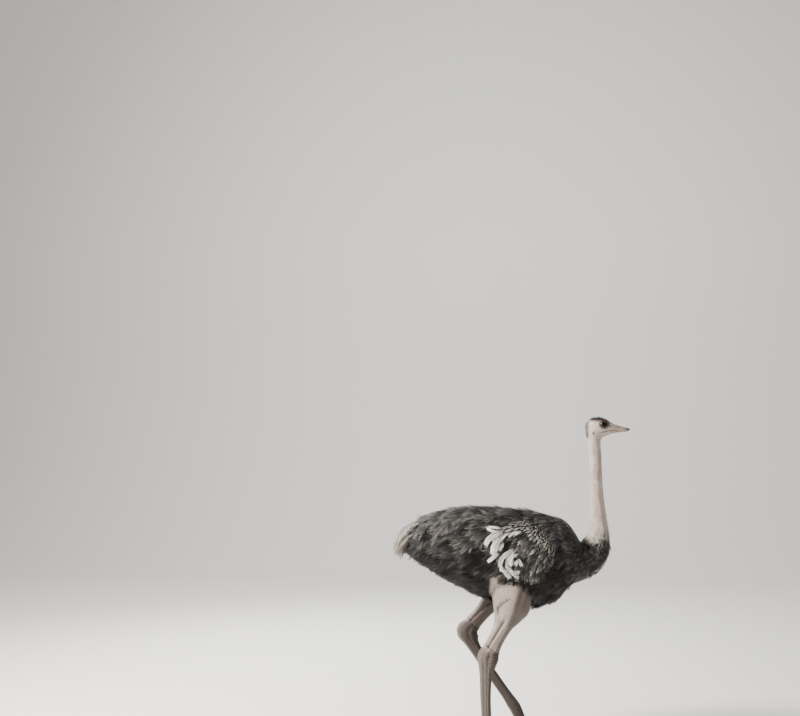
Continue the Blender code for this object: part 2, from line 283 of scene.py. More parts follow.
@dataclass
class Tube:
    """A rounded form swept along a line of sections.

    Each row holds a centre (x, y, z), a half width, a half size on the back's side and one on the front's side,
    and where the form says so a tilt: the direction it runs in, in degrees in the XZ plane, at that section.
    """

    rows: Rows
    sides: int = 48
    step: float = 0.005
    fullness: float = 2.0
    tilted: bool = False
    upright: bool = False
    relief: Callable[[Array, Array, Array], Array] | None = None
    stations: Array = field(init=False)
    lengths: Array = field(init=False)
    centres: Array = field(init=False)
    along: Array = field(init=False)
    ring_points: Array = field(init=False)

    def __post_init__(self) -> None:
        """Works out evenly spaced rings and the points on them."""
        rows = np.array(self.rows, float)
        fine = np.linspace(0, len(rows) - 1, 60 * len(rows))
        path = through(rows, fine)[:, :3]
        length = np.concatenate([[0], np.cumsum(np.linalg.norm(np.diff(path, axis=0), axis=1))])
        count = max(int(length[-1] / self.step), 4) + 1
        self.lengths = np.linspace(0, length[-1], count)
        self.stations = np.interp(self.lengths, length, fine)
        values = through(rows, self.stations)
        self.centres = values[:, :3]
        if self.tilted:
            tilt = np.radians(values[:, 6])
            self.along = np.stack([np.cos(tilt), 0 * tilt, np.sin(tilt)], 1)
        elif self.upright:
            self.along = np.tile([-1.0, 0.0, 0.0], (count, 1))
        else:
            self.along = unit(np.gradient(self.centres, axis=0))
        side = np.array([0.0, 1.0, 0.0]) - self.along[:, 1:2] * self.along
        side = unit(side)
        rear = np.cross(side, self.along)
        theta = 2 * np.pi * np.arange(self.sides) / self.sides
        c, s = np.cos(theta), np.sin(theta)
        size = (np.abs(c) ** self.fullness + np.abs(s) ** self.fullness) ** (-1 / self.fullness)
        wide = values[:, 3:4] * (c * size)
        deep = np.where(s > 0, values[:, 4:5], values[:, 5:6]) * (s * size)
        spread = side[:, None] * wide[..., None] + rear[:, None] * deep[..., None]
        if self.relief:
            amount = self.relief(self.lengths[:, None], theta[None], self.centres[:, None] + spread)
            spread = spread + unit(spread) * amount[..., None]
        self.ring_points = self.centres[:, None] + spread

    def closed_mesh(self) -> tuple[Array, list]:
        """The form as points and faces, with both ends closed.

        Returns:
            The points, and the faces pointing outwards.
        """
        count, sides = self.ring_points.shape[:2]
        points = np.concatenate([self.ring_points.reshape(-1, 3), self.centres[:1], self.centres[-1:]])
        return points, capped_faces(count, sides)

    def unrolled(self) -> Array:
        """The rings from the lowest point round, each closed by that point again."""
        grid = np.roll(self.ring_points, self.sides // 4, axis=1)
        return np.concatenate([grid, grid[:, :1]], 1)


def grid_faces(count: int, sides: int, wrap: bool) -> list[tuple[int, int, int, int]]:
    """Faces of a grid of points, row by row.

    Args:
        count: The number of rows.
        sides: The points in a row.
        wrap: Whether the last point of a row joins its first.

    Returns:
        The faces.
    """
    faces = []
    for i in range(count - 1):
        for k in range(sides if wrap else sides - 1):
            after = (k + 1) % sides
            faces.append((i * sides + k, i * sides + after, (i + 1) * sides + after, (i + 1) * sides + k))
    return faces


def capped_faces(count: int, sides: int) -> list:
    """Faces of a tube of points, closed at its ends by one more point before the first ring and one past the last.

    Args:
        count: The number of rings.
        sides: The points in a ring.

    Returns:
        The faces. The two closing points come after the rings'.
    """
    faces, last = list(grid_faces(count, sides, wrap=True)), (count - 1) * sides
    for k in range(sides):
        after = (k + 1) % sides
        faces += [(count * sides, after, k), (count * sides + 1, last + k, last + after)]
    return faces


# Nodes and finishes


def add_node(
    tree: NodeTree, kind: str, inputs: dict | None = None, **settings: object
) -> Node:
    """Adds a node with its settings, values and links.

    Args:
        tree: The tree it goes in.
        kind: The node's type.
        inputs: For each input, by name or number, a value or the output that feeds it.
        settings: The node's own properties.

    Returns:
        The node.
    """
    made = tree.nodes.new(kind)
    for name, value in settings.items():
        setattr(made, name, value)
    feed(tree, made, inputs or {})
    return made


def feed(tree: NodeTree, node: Node, inputs: dict) -> None:
    """Sets or links a node's inputs.

    Args:
        tree: The tree it is in.
        node: The node.
        inputs: For each input, by name or number, a value or the output that feeds it.
    """
    for key, value in inputs.items():
        if isinstance(value, NodeSocket):
            tree.links.new(value, node.inputs[key])
        else:
            node.inputs[key].default_value = value


def maths(tree: NodeTree, operation: str, first: object, second: object) -> NodeSocket:
    """A sum, difference, product or power of two numbers."""
    return add_node(tree, "ShaderNodeMath", {0: first, 1: second}, operation=operation).outputs[0]


def ranged(
    tree: NodeTree, value: NodeSocket, low: float, high: float, start: float = 0.0, end: float = 1.0
) -> NodeSocket:
    """A number brought from one range to another and held there."""
    return add_node(tree, "ShaderNodeMapRange", {"Value": value, 1: low, 2: high, 3: start, 4: end}).outputs[0]


@dataclass(frozen=True)
class Finish:
    """A finish that a material is made from: subclasses say what it is."""

    name: str

    def material(self) -> Material:
        """A new material with this finish.

        Returns:
            The material.
        """
        made = bpy.data.materials.new(self.name)
        made.use_nodes = True
        self.dress(made.node_tree, made.node_tree.nodes["Principled BSDF"])
        return made

    def dress(self, tree: NodeTree, shader: Node) -> None:
        """Builds the nodes. Subclasses do this."""
        raise NotImplementedError

    @staticmethod
    def attribute(tree: NodeTree, name: str) -> NodeSocket:
        """The output that reads a number stored on the mesh."""
        return add_node(tree, "ShaderNodeAttribute", attribute_name=name).outputs["Fac"]

    @staticmethod
    def mixed(tree: NodeTree, amount: object, first: object, second: object) -> NodeSocket:
        """A colour between two.

        Args:
            tree: The tree it goes in.
            amount: The second colour's share.
            first: One colour, or the output that gives it.
            second: The other.

        Returns:
            The output that gives the colour.
        """
        made = add_node(tree, "ShaderNodeMix", data_type="RGBA")
        feed(tree, made, {0: amount, 6: first, 7: second})
        return made.outputs[2]


def ripple(points: Array, period: float, seed: int) -> Array:
    """Smooth unevenness in space.

    Args:
        points: Where it is read.
        period: The usual distance from one crest to the next.
        seed: Which pattern.

    Returns:
        A number for each point, most of them between -1 and 1.
    """
    rng = np.random.default_rng(seed)
    waves = unit(rng.normal(size=(9, 3))) * (2 * np.pi / period) * rng.uniform(0.6, 1.5, (9, 1))
    return 0.45 * np.sin(points @ waves.T + rng.uniform(0, 6.28, 9)).sum(-1)


@dataclass(frozen=True)
class BareSkin(Finish):
    """Living bare skin: matt, soft, finely creased, with a raised dot where each lost feather grew.

    Over the tarsus and toes it turns to small pebbly scales, and under the feathers it is painted near black as
    shade.
    """

    pale: str = "C2B6AB"
    warm: str = "A8958A"
    grey: str = "6A625C"
    scale: str = "6F665E"
    scale_edge: str = "27221E"
    # the crown's own dark, also laid as painted shade round the eye, in the ear, along the jaw and gape, and in the
    # legs' folds, fronts and inner sides
    crown: str = "352C27"
    # painted shade: the skin under the feathers is near black so that the gaps between them read dark
    hidden: str = "14110F"
    follicle_mm: float = 7.0
    scale_mm: float = 5.0

    def dress(self, tree: NodeTree, shader: Node) -> None:
        """Builds the nodes.

        Args:
            tree: The material's tree.
            shader: Its shader.
        """
        place = add_node(tree, "ShaderNodeTexCoord").outputs["Object"]
        blotch = add_node(tree, "ShaderNodeTexNoise", {"Vector": place, "Scale": 11.0, "Detail": 4.0}).outputs["Fac"]
        colour = self.mixed(tree, ranged(tree, blotch, 0.38, 0.70), linear(self.pale), linear(self.warm))
        fleck = add_node(tree, "ShaderNodeTexNoise", {"Vector": place, "Scale": 120.0, "Detail": 3.0}).outputs["Fac"]
        colour = self.mixed(tree, ranged(tree, fleck, 0.52, 0.72, 0.0, 0.6), colour, linear(self.grey))
        pits = {"Vector": place, "Scale": 1 / (self.follicle_mm * MM), "Randomness": 0.9}
        follicles = add_node(tree, "ShaderNodeTexVoronoi", pits).outputs["Distance"]
        dots = ranged(tree, follicles, 0.0, 0.45, 1.0, 0.0)
        scaly = self.attribute(tree, "scaly")
        pebbles = {"Vector": place, "Scale": 1 / (self.scale_mm * MM), "Randomness": 0.75}
        cells = add_node(tree, "ShaderNodeTexVoronoi", pebbles, feature="DISTANCE_TO_EDGE").outputs["Distance"]
        plate = ranged(tree, cells, 0.0, 0.11)
        scale_colour = self.mixed(tree, plate, linear(self.scale_edge), linear(self.scale))
        colour = self.mixed(tree, scaly, colour, scale_colour)
        for mark, code in (("edge", self.scale_edge), ("crown", self.crown), ("hidden", self.hidden)):
            colour = self.mixed(tree, self.attribute(tree, mark), colour, linear(code))
        feed(tree, shader, {"Base Color": colour})
        fine = {"Vector": place, "Scale": 260.0, "Detail": 5.0, "Roughness": 0.6}
        creases = add_node(tree, "ShaderNodeTexNoise", fine).outputs["Fac"]
        soft = maths(tree, "ADD", maths(tree, "MULTIPLY", dots, 0.5), creases)
        height = add_node(tree, "ShaderNodeMix", {0: scaly, 2: soft, 3: plate}).outputs[0]
        bump = add_node(tree, "ShaderNodeBump", {"Height": height, "Strength": 0.7, "Distance": 1.0 * MM})
        feed(tree, shader, {"Normal": bump.outputs["Normal"], "Roughness": 0.58, "Specular IOR Level": 0.35})
        feed(tree, shader, {"Subsurface Weight": 0.06, "Subsurface Radius": (0.005, 0.003, 0.002)})


@dataclass(frozen=True)
class Horn(Finish):
    """Keratin horn, grown in layers: satin, with fine lengthwise streaks, a darker, worn tip, and on the bill painted
    shade in the nostrils and along the gape.
    """

    base: str = "A08F80"
    streak: str = "796A5E"
    tip: str = "201A16"
    streak_mm: float = 2.0
    roughness: float = 0.38

    def dress(self, tree: NodeTree, shader: Node) -> None:
        """Builds the nodes.

        Args:
            tree: The material's tree.
            shader: Its shader.
        """
        place = add_node(tree, "ShaderNodeTexCoord").outputs["Object"]
        stretched = add_node(tree, "ShaderNodeMapping", {"Vector": place, "Scale": (0.12, 1.0, 1.0)}).outputs[0]
        streaks = {"Vector": stretched, "Scale": 1 / (self.streak_mm * MM), "Detail": 4.0, "Roughness": 0.6}
        grain = add_node(tree, "ShaderNodeTexNoise", streaks).outputs["Fac"]
        colour = self.mixed(tree, ranged(tree, grain, 0.35, 0.68), linear(self.base), linear(self.streak))
        colour = self.mixed(tree, self.attribute(tree, "tip"), colour, linear(self.tip))
        feed(tree, shader, {"Base Color": colour})
        bump = add_node(tree, "ShaderNodeBump", {"Height": grain, "Strength": 0.3, "Distance": 0.5 * MM})
        feed(tree, shader, {"Normal": bump.outputs["Normal"], "Roughness": self.roughness})


@dataclass(frozen=True)
class WetEye(Finish):
    """A wet eye: a near-black pupil, a dark brown iris with fine spokes, and a clear glossy coat over both."""

    pupil: str = "050404"
    iris: str = "27150B"
    rim: str = "0B0604"
    white: str = "8A6A58"

    def dress(self, tree: NodeTree, shader: Node) -> None:
        """Builds the nodes.

        Args:
            tree: The material's tree.
            shader: Its shader.
        """
        out = self.attribute(tree, "outwards")
        ramp = add_node(tree, "ShaderNodeValToRGB", {"Fac": out})
        stops = ((0.0, self.pupil), (0.33, self.pupil), (0.37, self.iris), (0.52, self.iris), (0.62, self.rim))
        bar = ramp.color_ramp
        while len(bar.elements) < len(stops) + 1:
            bar.elements.new(0.5)
        for element, (place, code) in zip(bar.elements, (*stops, (0.80, self.white))):
            element.position = place
            element.color = linear(code)
        feed(tree, shader, {"Base Color": ramp.outputs["Color"], "Roughness": 0.12, "IOR": 1.376})
        feed(tree, shader, {"Specular IOR Level": 0.05, "Coat Weight": 0.25, "Coat Roughness": 0.02})


@dataclass(frozen=True)
class Plumage(Finish):
    """Feather keratin: matt barbs with a faint sheen, dark at the root and paler where the tips wear; the tone also
    carries the beds' painted light, lighter tips on lit sides and darker feathers in shade.
    """

    root: str = "030303"
    middle: str = "0C0B0A"
    # the worn tips' colour, which also serves the painted highlights on lit sides
    worn: str = "7F7D7A"
    uneven: float = 0.7
    roughness: float = 0.6
    specular: float = 0.3
    sheen: float = 0.07
    sheen_tint: str = "9C9894"

    def dress(self, tree: NodeTree, shader: Node) -> None:
        """Builds the nodes.

        Args:
            tree: The material's tree.
            shader: Its shader.
        """
        along = self.attribute(tree, "along")
        tone = self.attribute(tree, "tone")
        colour = self.mixed(tree, along, linear(self.root), linear(self.middle))
        # the tone carries each bed's painted light and shade besides random tone: high tones pale the tips as a
        # painted highlight, low tones darken towards the root as painted shade
        share = maths(tree, "MULTIPLY", maths(tree, "POWER", along, 3.0), ranged(tree, tone, -0.3, 1.0))
        colour = self.mixed(tree, share, colour, linear(self.worn))
        colour = self.mixed(tree, ranged(tree, tone, 0.4, -0.4, 0.0, self.uneven), colour, linear(self.root))
        feed(tree, shader, {"Base Color": colour, "Roughness": self.roughness, "Specular IOR Level": self.specular})
        sheen = {"Sheen Weight": self.sheen, "Sheen Roughness": 0.45, "Sheen Tint": linear(self.sheen_tint)}
        feed(tree, shader, sheen)


@dataclass(frozen=True)
class Ground(Finish):
    """A matt painted studio floor."""

    colour: str = "F0EFEC"

    def dress(self, tree: NodeTree, shader: Node) -> None:
        """Builds the nodes."""
        feed(tree, shader, {"Base Color": linear(self.colour), "Roughness": 0.9})


# Skin

TRUNK_LINES = (  # place along it, top, low and half width of the feathered trunk
    (0.690, 1.195, 1.140, 0.030),
    (0.675, 1.222, 1.085, 0.062),
    (0.642, 1.228, 1.038, 0.094),
    (0.590, 1.218, 1.004, 0.124),
    (0.538, 1.224, 0.982, 0.150),
    (0.500, 1.278, 0.968, 0.170),
    (0.456, 1.330, 0.940, 0.190),
    (0.400, 1.356, 0.888, 0.208),
    (0.305, 1.376, 0.842, 0.226),
    (0.180, 1.392, 0.836, 0.238),
    (0.050, 1.405, 0.860, 0.242),
    (-0.080, 1.406, 0.912, 0.234),
    (-0.190, 1.392, 0.966, 0.210),
    (-0.290, 1.366, 1.022, 0.178),
    (-0.370, 1.330, 1.074, 0.142),
    (-0.425, 1.278, 1.116, 0.102),
    (-0.455, 1.225, 1.155, 0.055),
)
TRUNK_FULLNESS = 2.25
THIGH_EDGE = (  # place along the trunk and height, where the lowest feathers over a thigh are rooted
    (0.000, 1.010),
    (0.022, 1.032),
    (0.120, 1.058),
    (0.165, 1.022),
    (0.225, 1.006),
    (0.252, 1.022),
    (0.290, 0.930),
)
THIGH_SWING = 0.030


def trunk_tube(depth: float, step: float, sides: int) -> Tube:
    """The trunk's form, a little inside its feathered outline.

    Args:
        depth: How far inside.
        step: The space between rings.
        sides: The points in a ring.

    Returns:
        The form, with upright rings from the breast to the rump.
    """
    rows = []
    for x, top, low, wide in TRUNK_LINES:
        inset = min(depth, 0.45 * wide)
        half = (top - low) / 2 - inset
        rows.append((x, 0.0, (top + low) / 2, wide - inset, half, half))
    return Tube(rows, sides, step, TRUNK_FULLNESS, upright=True)


def bare_thigh(points: Array, shift: float = 0.0) -> Array:
    """Where the thigh is bare below the feathers' ragged edge.

    Args:
        points: The places to judge.
        shift: How much higher than the edge itself.

    Returns:
        Shares from 0, feathered, to 1, bare.
    """
    y = points[..., 1]
    x = points[..., 0] + THIGH_SWING * (y > 0)
    edge = np.interp(x, *np.array(THIGH_EDGE).T) + 0.006 * ripple(points, 0.030, 21) + shift
    sides = smooth(0.020, 0.042, x) * smooth(0.300, 0.276, x) * smooth(0.050, 0.085, np.abs(y))
    return sides * smooth(edge + 0.005, edge - 0.005, points[..., 2])


def trunk_half_width(x: Array, z: Array) -> Array:
    """How far the feathered trunk reaches from the middle plane.

    Args:
        x: Places along it.
        z: Heights.

    Returns:
        The half width at each place.
    """
    rows = np.array(TRUNK_LINES)
    fine = through(rows, np.linspace(0, len(rows) - 1, 400))[::-1]
    top, low, wide = (np.interp(x, fine[:, 0], fine[:, k]) for k in (1, 2, 3))
    share = np.clip(np.abs(z - (top + low) / 2) / ((top - low) / 2), 0, 0.97)
    return wide * (1 - share**TRUNK_FULLNESS) ** (1 / TRUNK_FULLNESS)


@dataclass
class HeadAndNeck:
    """Head and neck as one tube of hoops, fanned round the throat, with the face's relief pressed into it.

    Each hoop holds its highest or rearmost point (x, z), its lowest or foremost point (x, z) and a half width.
    """

    hoops: Rows = (
        (0.7440, 1.8560, 0.7440, 1.8290, 0.0130),
        (0.7300, 1.8672, 0.7300, 1.8205, 0.0225),
        (0.7080, 1.8795, 0.7080, 1.8120, 0.0292),
        (0.6860, 1.8915, 0.6870, 1.8040, 0.0345),
        (0.6640, 1.9005, 0.6700, 1.7975, 0.0378),
        (0.6400, 1.9055, 0.6600, 1.7920, 0.0395),
        (0.6180, 1.9045, 0.6550, 1.7870, 0.0398),
        (0.5980, 1.8975, 0.6525, 1.7815, 0.0385),
        (0.5830, 1.8840, 0.6510, 1.7755, 0.0362),
        (0.5740, 1.8650, 0.6500, 1.7690, 0.0342),
        (0.5715, 1.8430, 0.6495, 1.7620, 0.0328),
        (0.5740, 1.8180, 0.6495, 1.7530, 0.0318),
        (0.5775, 1.7900, 0.6500, 1.7420, 0.0312),
        (0.5815, 1.7600, 0.6505, 1.7280, 0.0308),
        (0.5845, 1.7250, 0.6515, 1.7080, 0.0303),
        (0.5865, 1.6850, 0.6530, 1.6790, 0.0300),
        (0.5880, 1.6300, 0.6540, 1.6300, 0.0302),
        (0.5885, 1.5410, 0.6570, 1.5430, 0.0318),
        (0.5895, 1.4400, 0.6645, 1.4420, 0.0345),
        (0.5925, 1.3450, 0.6780, 1.3400, 0.0390),
        (0.5890, 1.2750, 0.6880, 1.2550, 0.0470),
        (0.5600, 1.2350, 0.6820, 1.1900, 0.0560),
        (0.5200, 1.1900, 0.6550, 1.1300, 0.0600),
        (0.4800, 1.1500, 0.6000, 1.0900, 0.0560),
    )
    face: Sequence[tuple[Place, Place, float]] = (  # place, reach and movement outwards in millimetres
        ((0.668, 0.030, 1.8900), (0.020, 0.012, 0.0050), 2.6),  # brow
        ((0.694, 0.031, 1.8420), (0.016, 0.012, 0.0090), -2.4),  # hollow before the cheek
        ((0.640, 0.038, 1.8330), (0.022, 0.012, 0.0120), 1.6),  # cheek
        ((0.624, 0.038, 1.8700), (0.014, 0.012, 0.0120), -1.8),  # temple
        ((0.700, 0.000, 1.8850), (0.020, 0.010, 0.0100), -1.0),  # forehead
        ((0.690, 0.030, 1.8325), (0.012, 0.012, 0.0014), -1.8),  # gape
        ((0.689, 0.028, 1.8290), (0.010, 0.012, 0.0020), 0.8),  # jaw below it
    )
    sides: int = 120
    step: float = 0.0026
    eye_place: Place = (0.6640, 0.0223, 1.8660)
    eye_radius: float = 0.0215
    lid_thickness: float = 0.0015
    gaze: Place = (0.12, 0.99, 0.02)
    opening: tuple[float, float] = (58.0, 41.0)
    ear_place: Place = (0.6080, 0.0385, 1.8170)

    def tube(self) -> Tube:
        """The form with its relief.

        Returns:
            The tube, whose rings start inside the bill and end inside the trunk.
        """
        rows = []
        tilt = 180.0
        for back_x, back_z, front_x, front_z, wide in self.hoops:
            rise = np.array([back_x - front_x, back_z - front_z])
            half = float(np.linalg.norm(rise)) / 2
            raw = math.degrees(math.atan2(rise[0], -rise[1]))
            tilt = raw + 360 * round((tilt - raw) / 360)
            rows.append(((back_x + front_x) / 2, 0.0, (back_z + front_z) / 2, wide, half, half, tilt))
        made = Tube(rows, self.sides, self.step, 2.15, tilted=True)
        made.ring_points = self.mould(made)
        return made

    def mould(self, made: Tube) -> Array:
        """Presses the face, the throat and the neck's cords into the rings.

        Args:
            made: The plain form.

        Returns:
            The moved points of the rings.
        """
        points = made.ring_points.copy()
        theta = (2 * np.pi * np.arange(self.sides) / self.sides)[None]
        head = smooth(1.760, 1.800, made.centres[:, 2])[:, None]
        under = np.clip(-np.sin(theta), 0, 1) ** 1.5
        points[..., 1] *= 1 - 0.20 * head * under
        outward = unit(points - made.centres[:, None])
        side = np.stack([points[..., 0], np.abs(points[..., 1]), points[..., 2]], -1)

        amount = 0.0
        for place, reach, millimetres in self.face:
            away = (side - np.array(place)) / np.array(reach)
            amount = amount + millimetres * MM * np.exp(-0.5 * (away**2).sum(-1))
        ear = np.linalg.norm((side - np.array(self.ear_place)) / [0.8, 1.0, 1.25], axis=-1)
        amount += 1.5 * MM * bell(ear - 8.5 * MM, 0, 2.2 * MM)
        amount -= 6.5 * MM * np.exp(-((ear / (5.2 * MM)) ** 4))
        away = side - np.array(self.eye_place)
        orbit, turn = np.hypot(away[..., 0], away[..., 2]), np.arctan2(away[..., 2], away[..., 0])
        crinkle = np.sin(2 * np.pi * orbit / 0.0036 + 1.8 * np.sin(3 * turn) + np.sin(7 * turn))
        amount += 0.38 * MM * crinkle * smooth(0.021, 0.025, orbit) * smooth(0.040, 0.031, orbit) * head
        amount += self.neck_relief(made, theta, head)
        points += outward * amount[..., None]
        return self.fit_eyes(points)

    def neck_relief(self, made: Tube, theta: Array, head: Array) -> Array:
        """How far the neck's cords, windpipe, bones and loose folds move its surface.

        Args:
            made: The plain form.
            theta: Angles round a ring.
            head: For each ring, 1 on the head and 0 on the neck.

        Returns:
            The outward movement of each point.
        """
        length = made.lengths[:, None]
        across = np.abs(np.cos(theta))
        front, back = np.clip(-np.sin(theta), 0, 1), np.clip(np.sin(theta), 0, 1)
        bones = np.cos(2 * np.pi * length / 0.043) * 0.8 * MM * (0.35 + back**2)
        groove = -1.9 * MM * bell(across, 0.83, 0.10) * (front > 0)
        windpipe = 1.0 * MM * front**6 + 0.22 * MM * np.sin(2 * np.pi * length / 0.0055) * front**4
        folds = 0.7 * MM * np.sin(7 * theta + 2.2 * np.sin(length * 21)) * np.sin(length * 37 + 2 * across)
        rings = 0.35 * MM * np.sin(2 * np.pi * length / 0.0105 + 1.7 * np.sin(3 * theta + length * 11))
        throat = bell(made.centres[:, 2], 1.795, 0.030)[:, None] * front**2
        loose = 0.9 * MM * np.sin(11 * theta) * throat
        return (bones + groove + windpipe + folds + rings) * (1 - head) + loose

    def eye_axes(self, side: Side) -> tuple[Array, Array, Array, Array]:
        """Where the eye on a side is.

        Args:
            side: Which side.

        Returns:
            Its middle, the way it looks, and forwards and upwards across it.
        """
        mirror = np.array([1, side.value, 1])
        axis = unit(np.array(self.gaze) * mirror)
        forward = unit(np.array([1.0, 0, 0]) - axis[0] * axis)
        return np.array(self.eye_place) * mirror, axis, forward, np.cross(forward, axis) * side.value

    def opening_at(self, phi: Array) -> Array:
        """How far the lids' edge is from the gaze, in radians.

        Args:
            phi: Angles round the gaze, from the front corner up and over.

        Returns:
            The edge's angle from the gaze at each.
        """
        wide, tall = np.radians(self.opening)
        c, s = np.cos(phi), np.sin(phi)
        tall = np.where(s > 0, tall * 0.92, tall)
        return (np.abs(c / wide) ** 1.7 + np.abs(s / tall) ** 1.7) ** (-1 / 1.7)

    def fit_eyes(self, points: Array) -> Array:
        """Lays the head's surface over each eyeball, and sinks it behind the opening.

        Args:
            points: The points of the rings.

        Returns:
            The moved points.
        """
        for side in Side:
            centre, axis, forward, up = self.eye_axes(side)
            away = points - centre
            radius = np.maximum(np.linalg.norm(away, axis=-1), 1e-9)
            angle = np.arccos(np.clip(away @ axis / radius, -1, 1))
            phi = np.arctan2(away @ up, away @ forward)
            lid = self.eye_radius + self.lid_thickness
            dome = lid - 0.016 * np.clip(np.degrees(angle) - 62, 0, 60) / 60
            blend = 2.5 * MM
            mixed = np.maximum(radius, dome) + blend * np.exp(-((np.abs(radius - dome) / blend) ** 1)) * 0.35
            raised = np.where(angle < np.radians(100), mixed, radius)
            inside = smooth(0.5, 4.5, np.degrees(self.opening_at(phi) - angle) + 2.0)
            target = raised * (1 - inside) + (self.eye_radius - 3.0 * MM) * inside
            near = (np.sign(points[..., 1]) == side.value) & (angle < np.radians(100)) & (radius < 0.045)
            moved = centre + away / radius[..., None] * target[..., None]
            points = np.where(near[..., None], moved, points)
        return points

    def lids(self, side: Side) -> tuple[Array, list]:
        """The rolled edge of the lids round one eye, with a fold above it.

        Args:
            side: Which eye.

        Returns:
            The points and faces of a closed ring.
        """
        centre, axis, forward, up = self.eye_axes(side)
        phi = np.linspace(0, 2 * np.pi, 97)[:-1]
        edge = self.opening_at(phi)
        upper = smooth(-0.2, 0.6, np.sin(phi))
        thick = (1.5 + 0.5 * upper + 0.15 * np.sin(23 * phi)) * MM
        roll = np.linspace(0, 2 * np.pi, 15)[:-1]
        rings = []
        for angle, size, swell in zip(edge, thick, upper):
            out = self.eye_radius + 0.15 * MM + size * 0.55 * (1 + np.sin(roll))
            turn = angle + (size * (1.5 + 0.8 * swell) / self.eye_radius) * (1 - np.cos(roll)) * 0.9
            turn = turn + 0.02 * np.sin(2 * roll)
            rings.append(np.stack([out, turn], -1))
        grid = np.array(rings)
        flat = np.cos(phi)[:, None, None] * forward + np.sin(phi)[:, None, None] * up
        points = centre + grid[..., :1] * (
            np.cos(grid[..., 1:]) * axis + np.sin(grid[..., 1:]) * flat
        )
        count, sides = len(phi), len(roll)
        faces = grid_faces(count, sides, wrap=True)
        for k in range(sides):
            after = (k + 1) % sides
            last = (count - 1) * sides
            faces.append((last + k, last + after, after, k))
        return points.reshape(-1, 3), faces


@dataclass(frozen=True)
class Toe:
    """A toe's bones: their lengths, half widths and half heights at the joints, and its splay outwards in degrees."""

    lengths: tuple[float, ...]
    widths: tuple[float, ...]
    heights: tuple[float, ...]
    splay: float


INNER_TOE = Toe(
    lengths=(0.080, 0.070, 0.054, 0.036),
    widths=(0.0340, 0.0285, 0.0275, 0.0255, 0.0180),
    heights=(0.0330, 0.0290, 0.0265, 0.0245, 0.0170),
    splay=-3.0,
)
OUTER_TOE = Toe(
    lengths=(0.062, 0.042, 0.030, 0.018),
    widths=(0.0230, 0.0220, 0.0210, 0.0195, 0.0130),
    heights=(0.0280, 0.0240, 0.0225, 0.0205, 0.0130),
    splay=32.0,
)


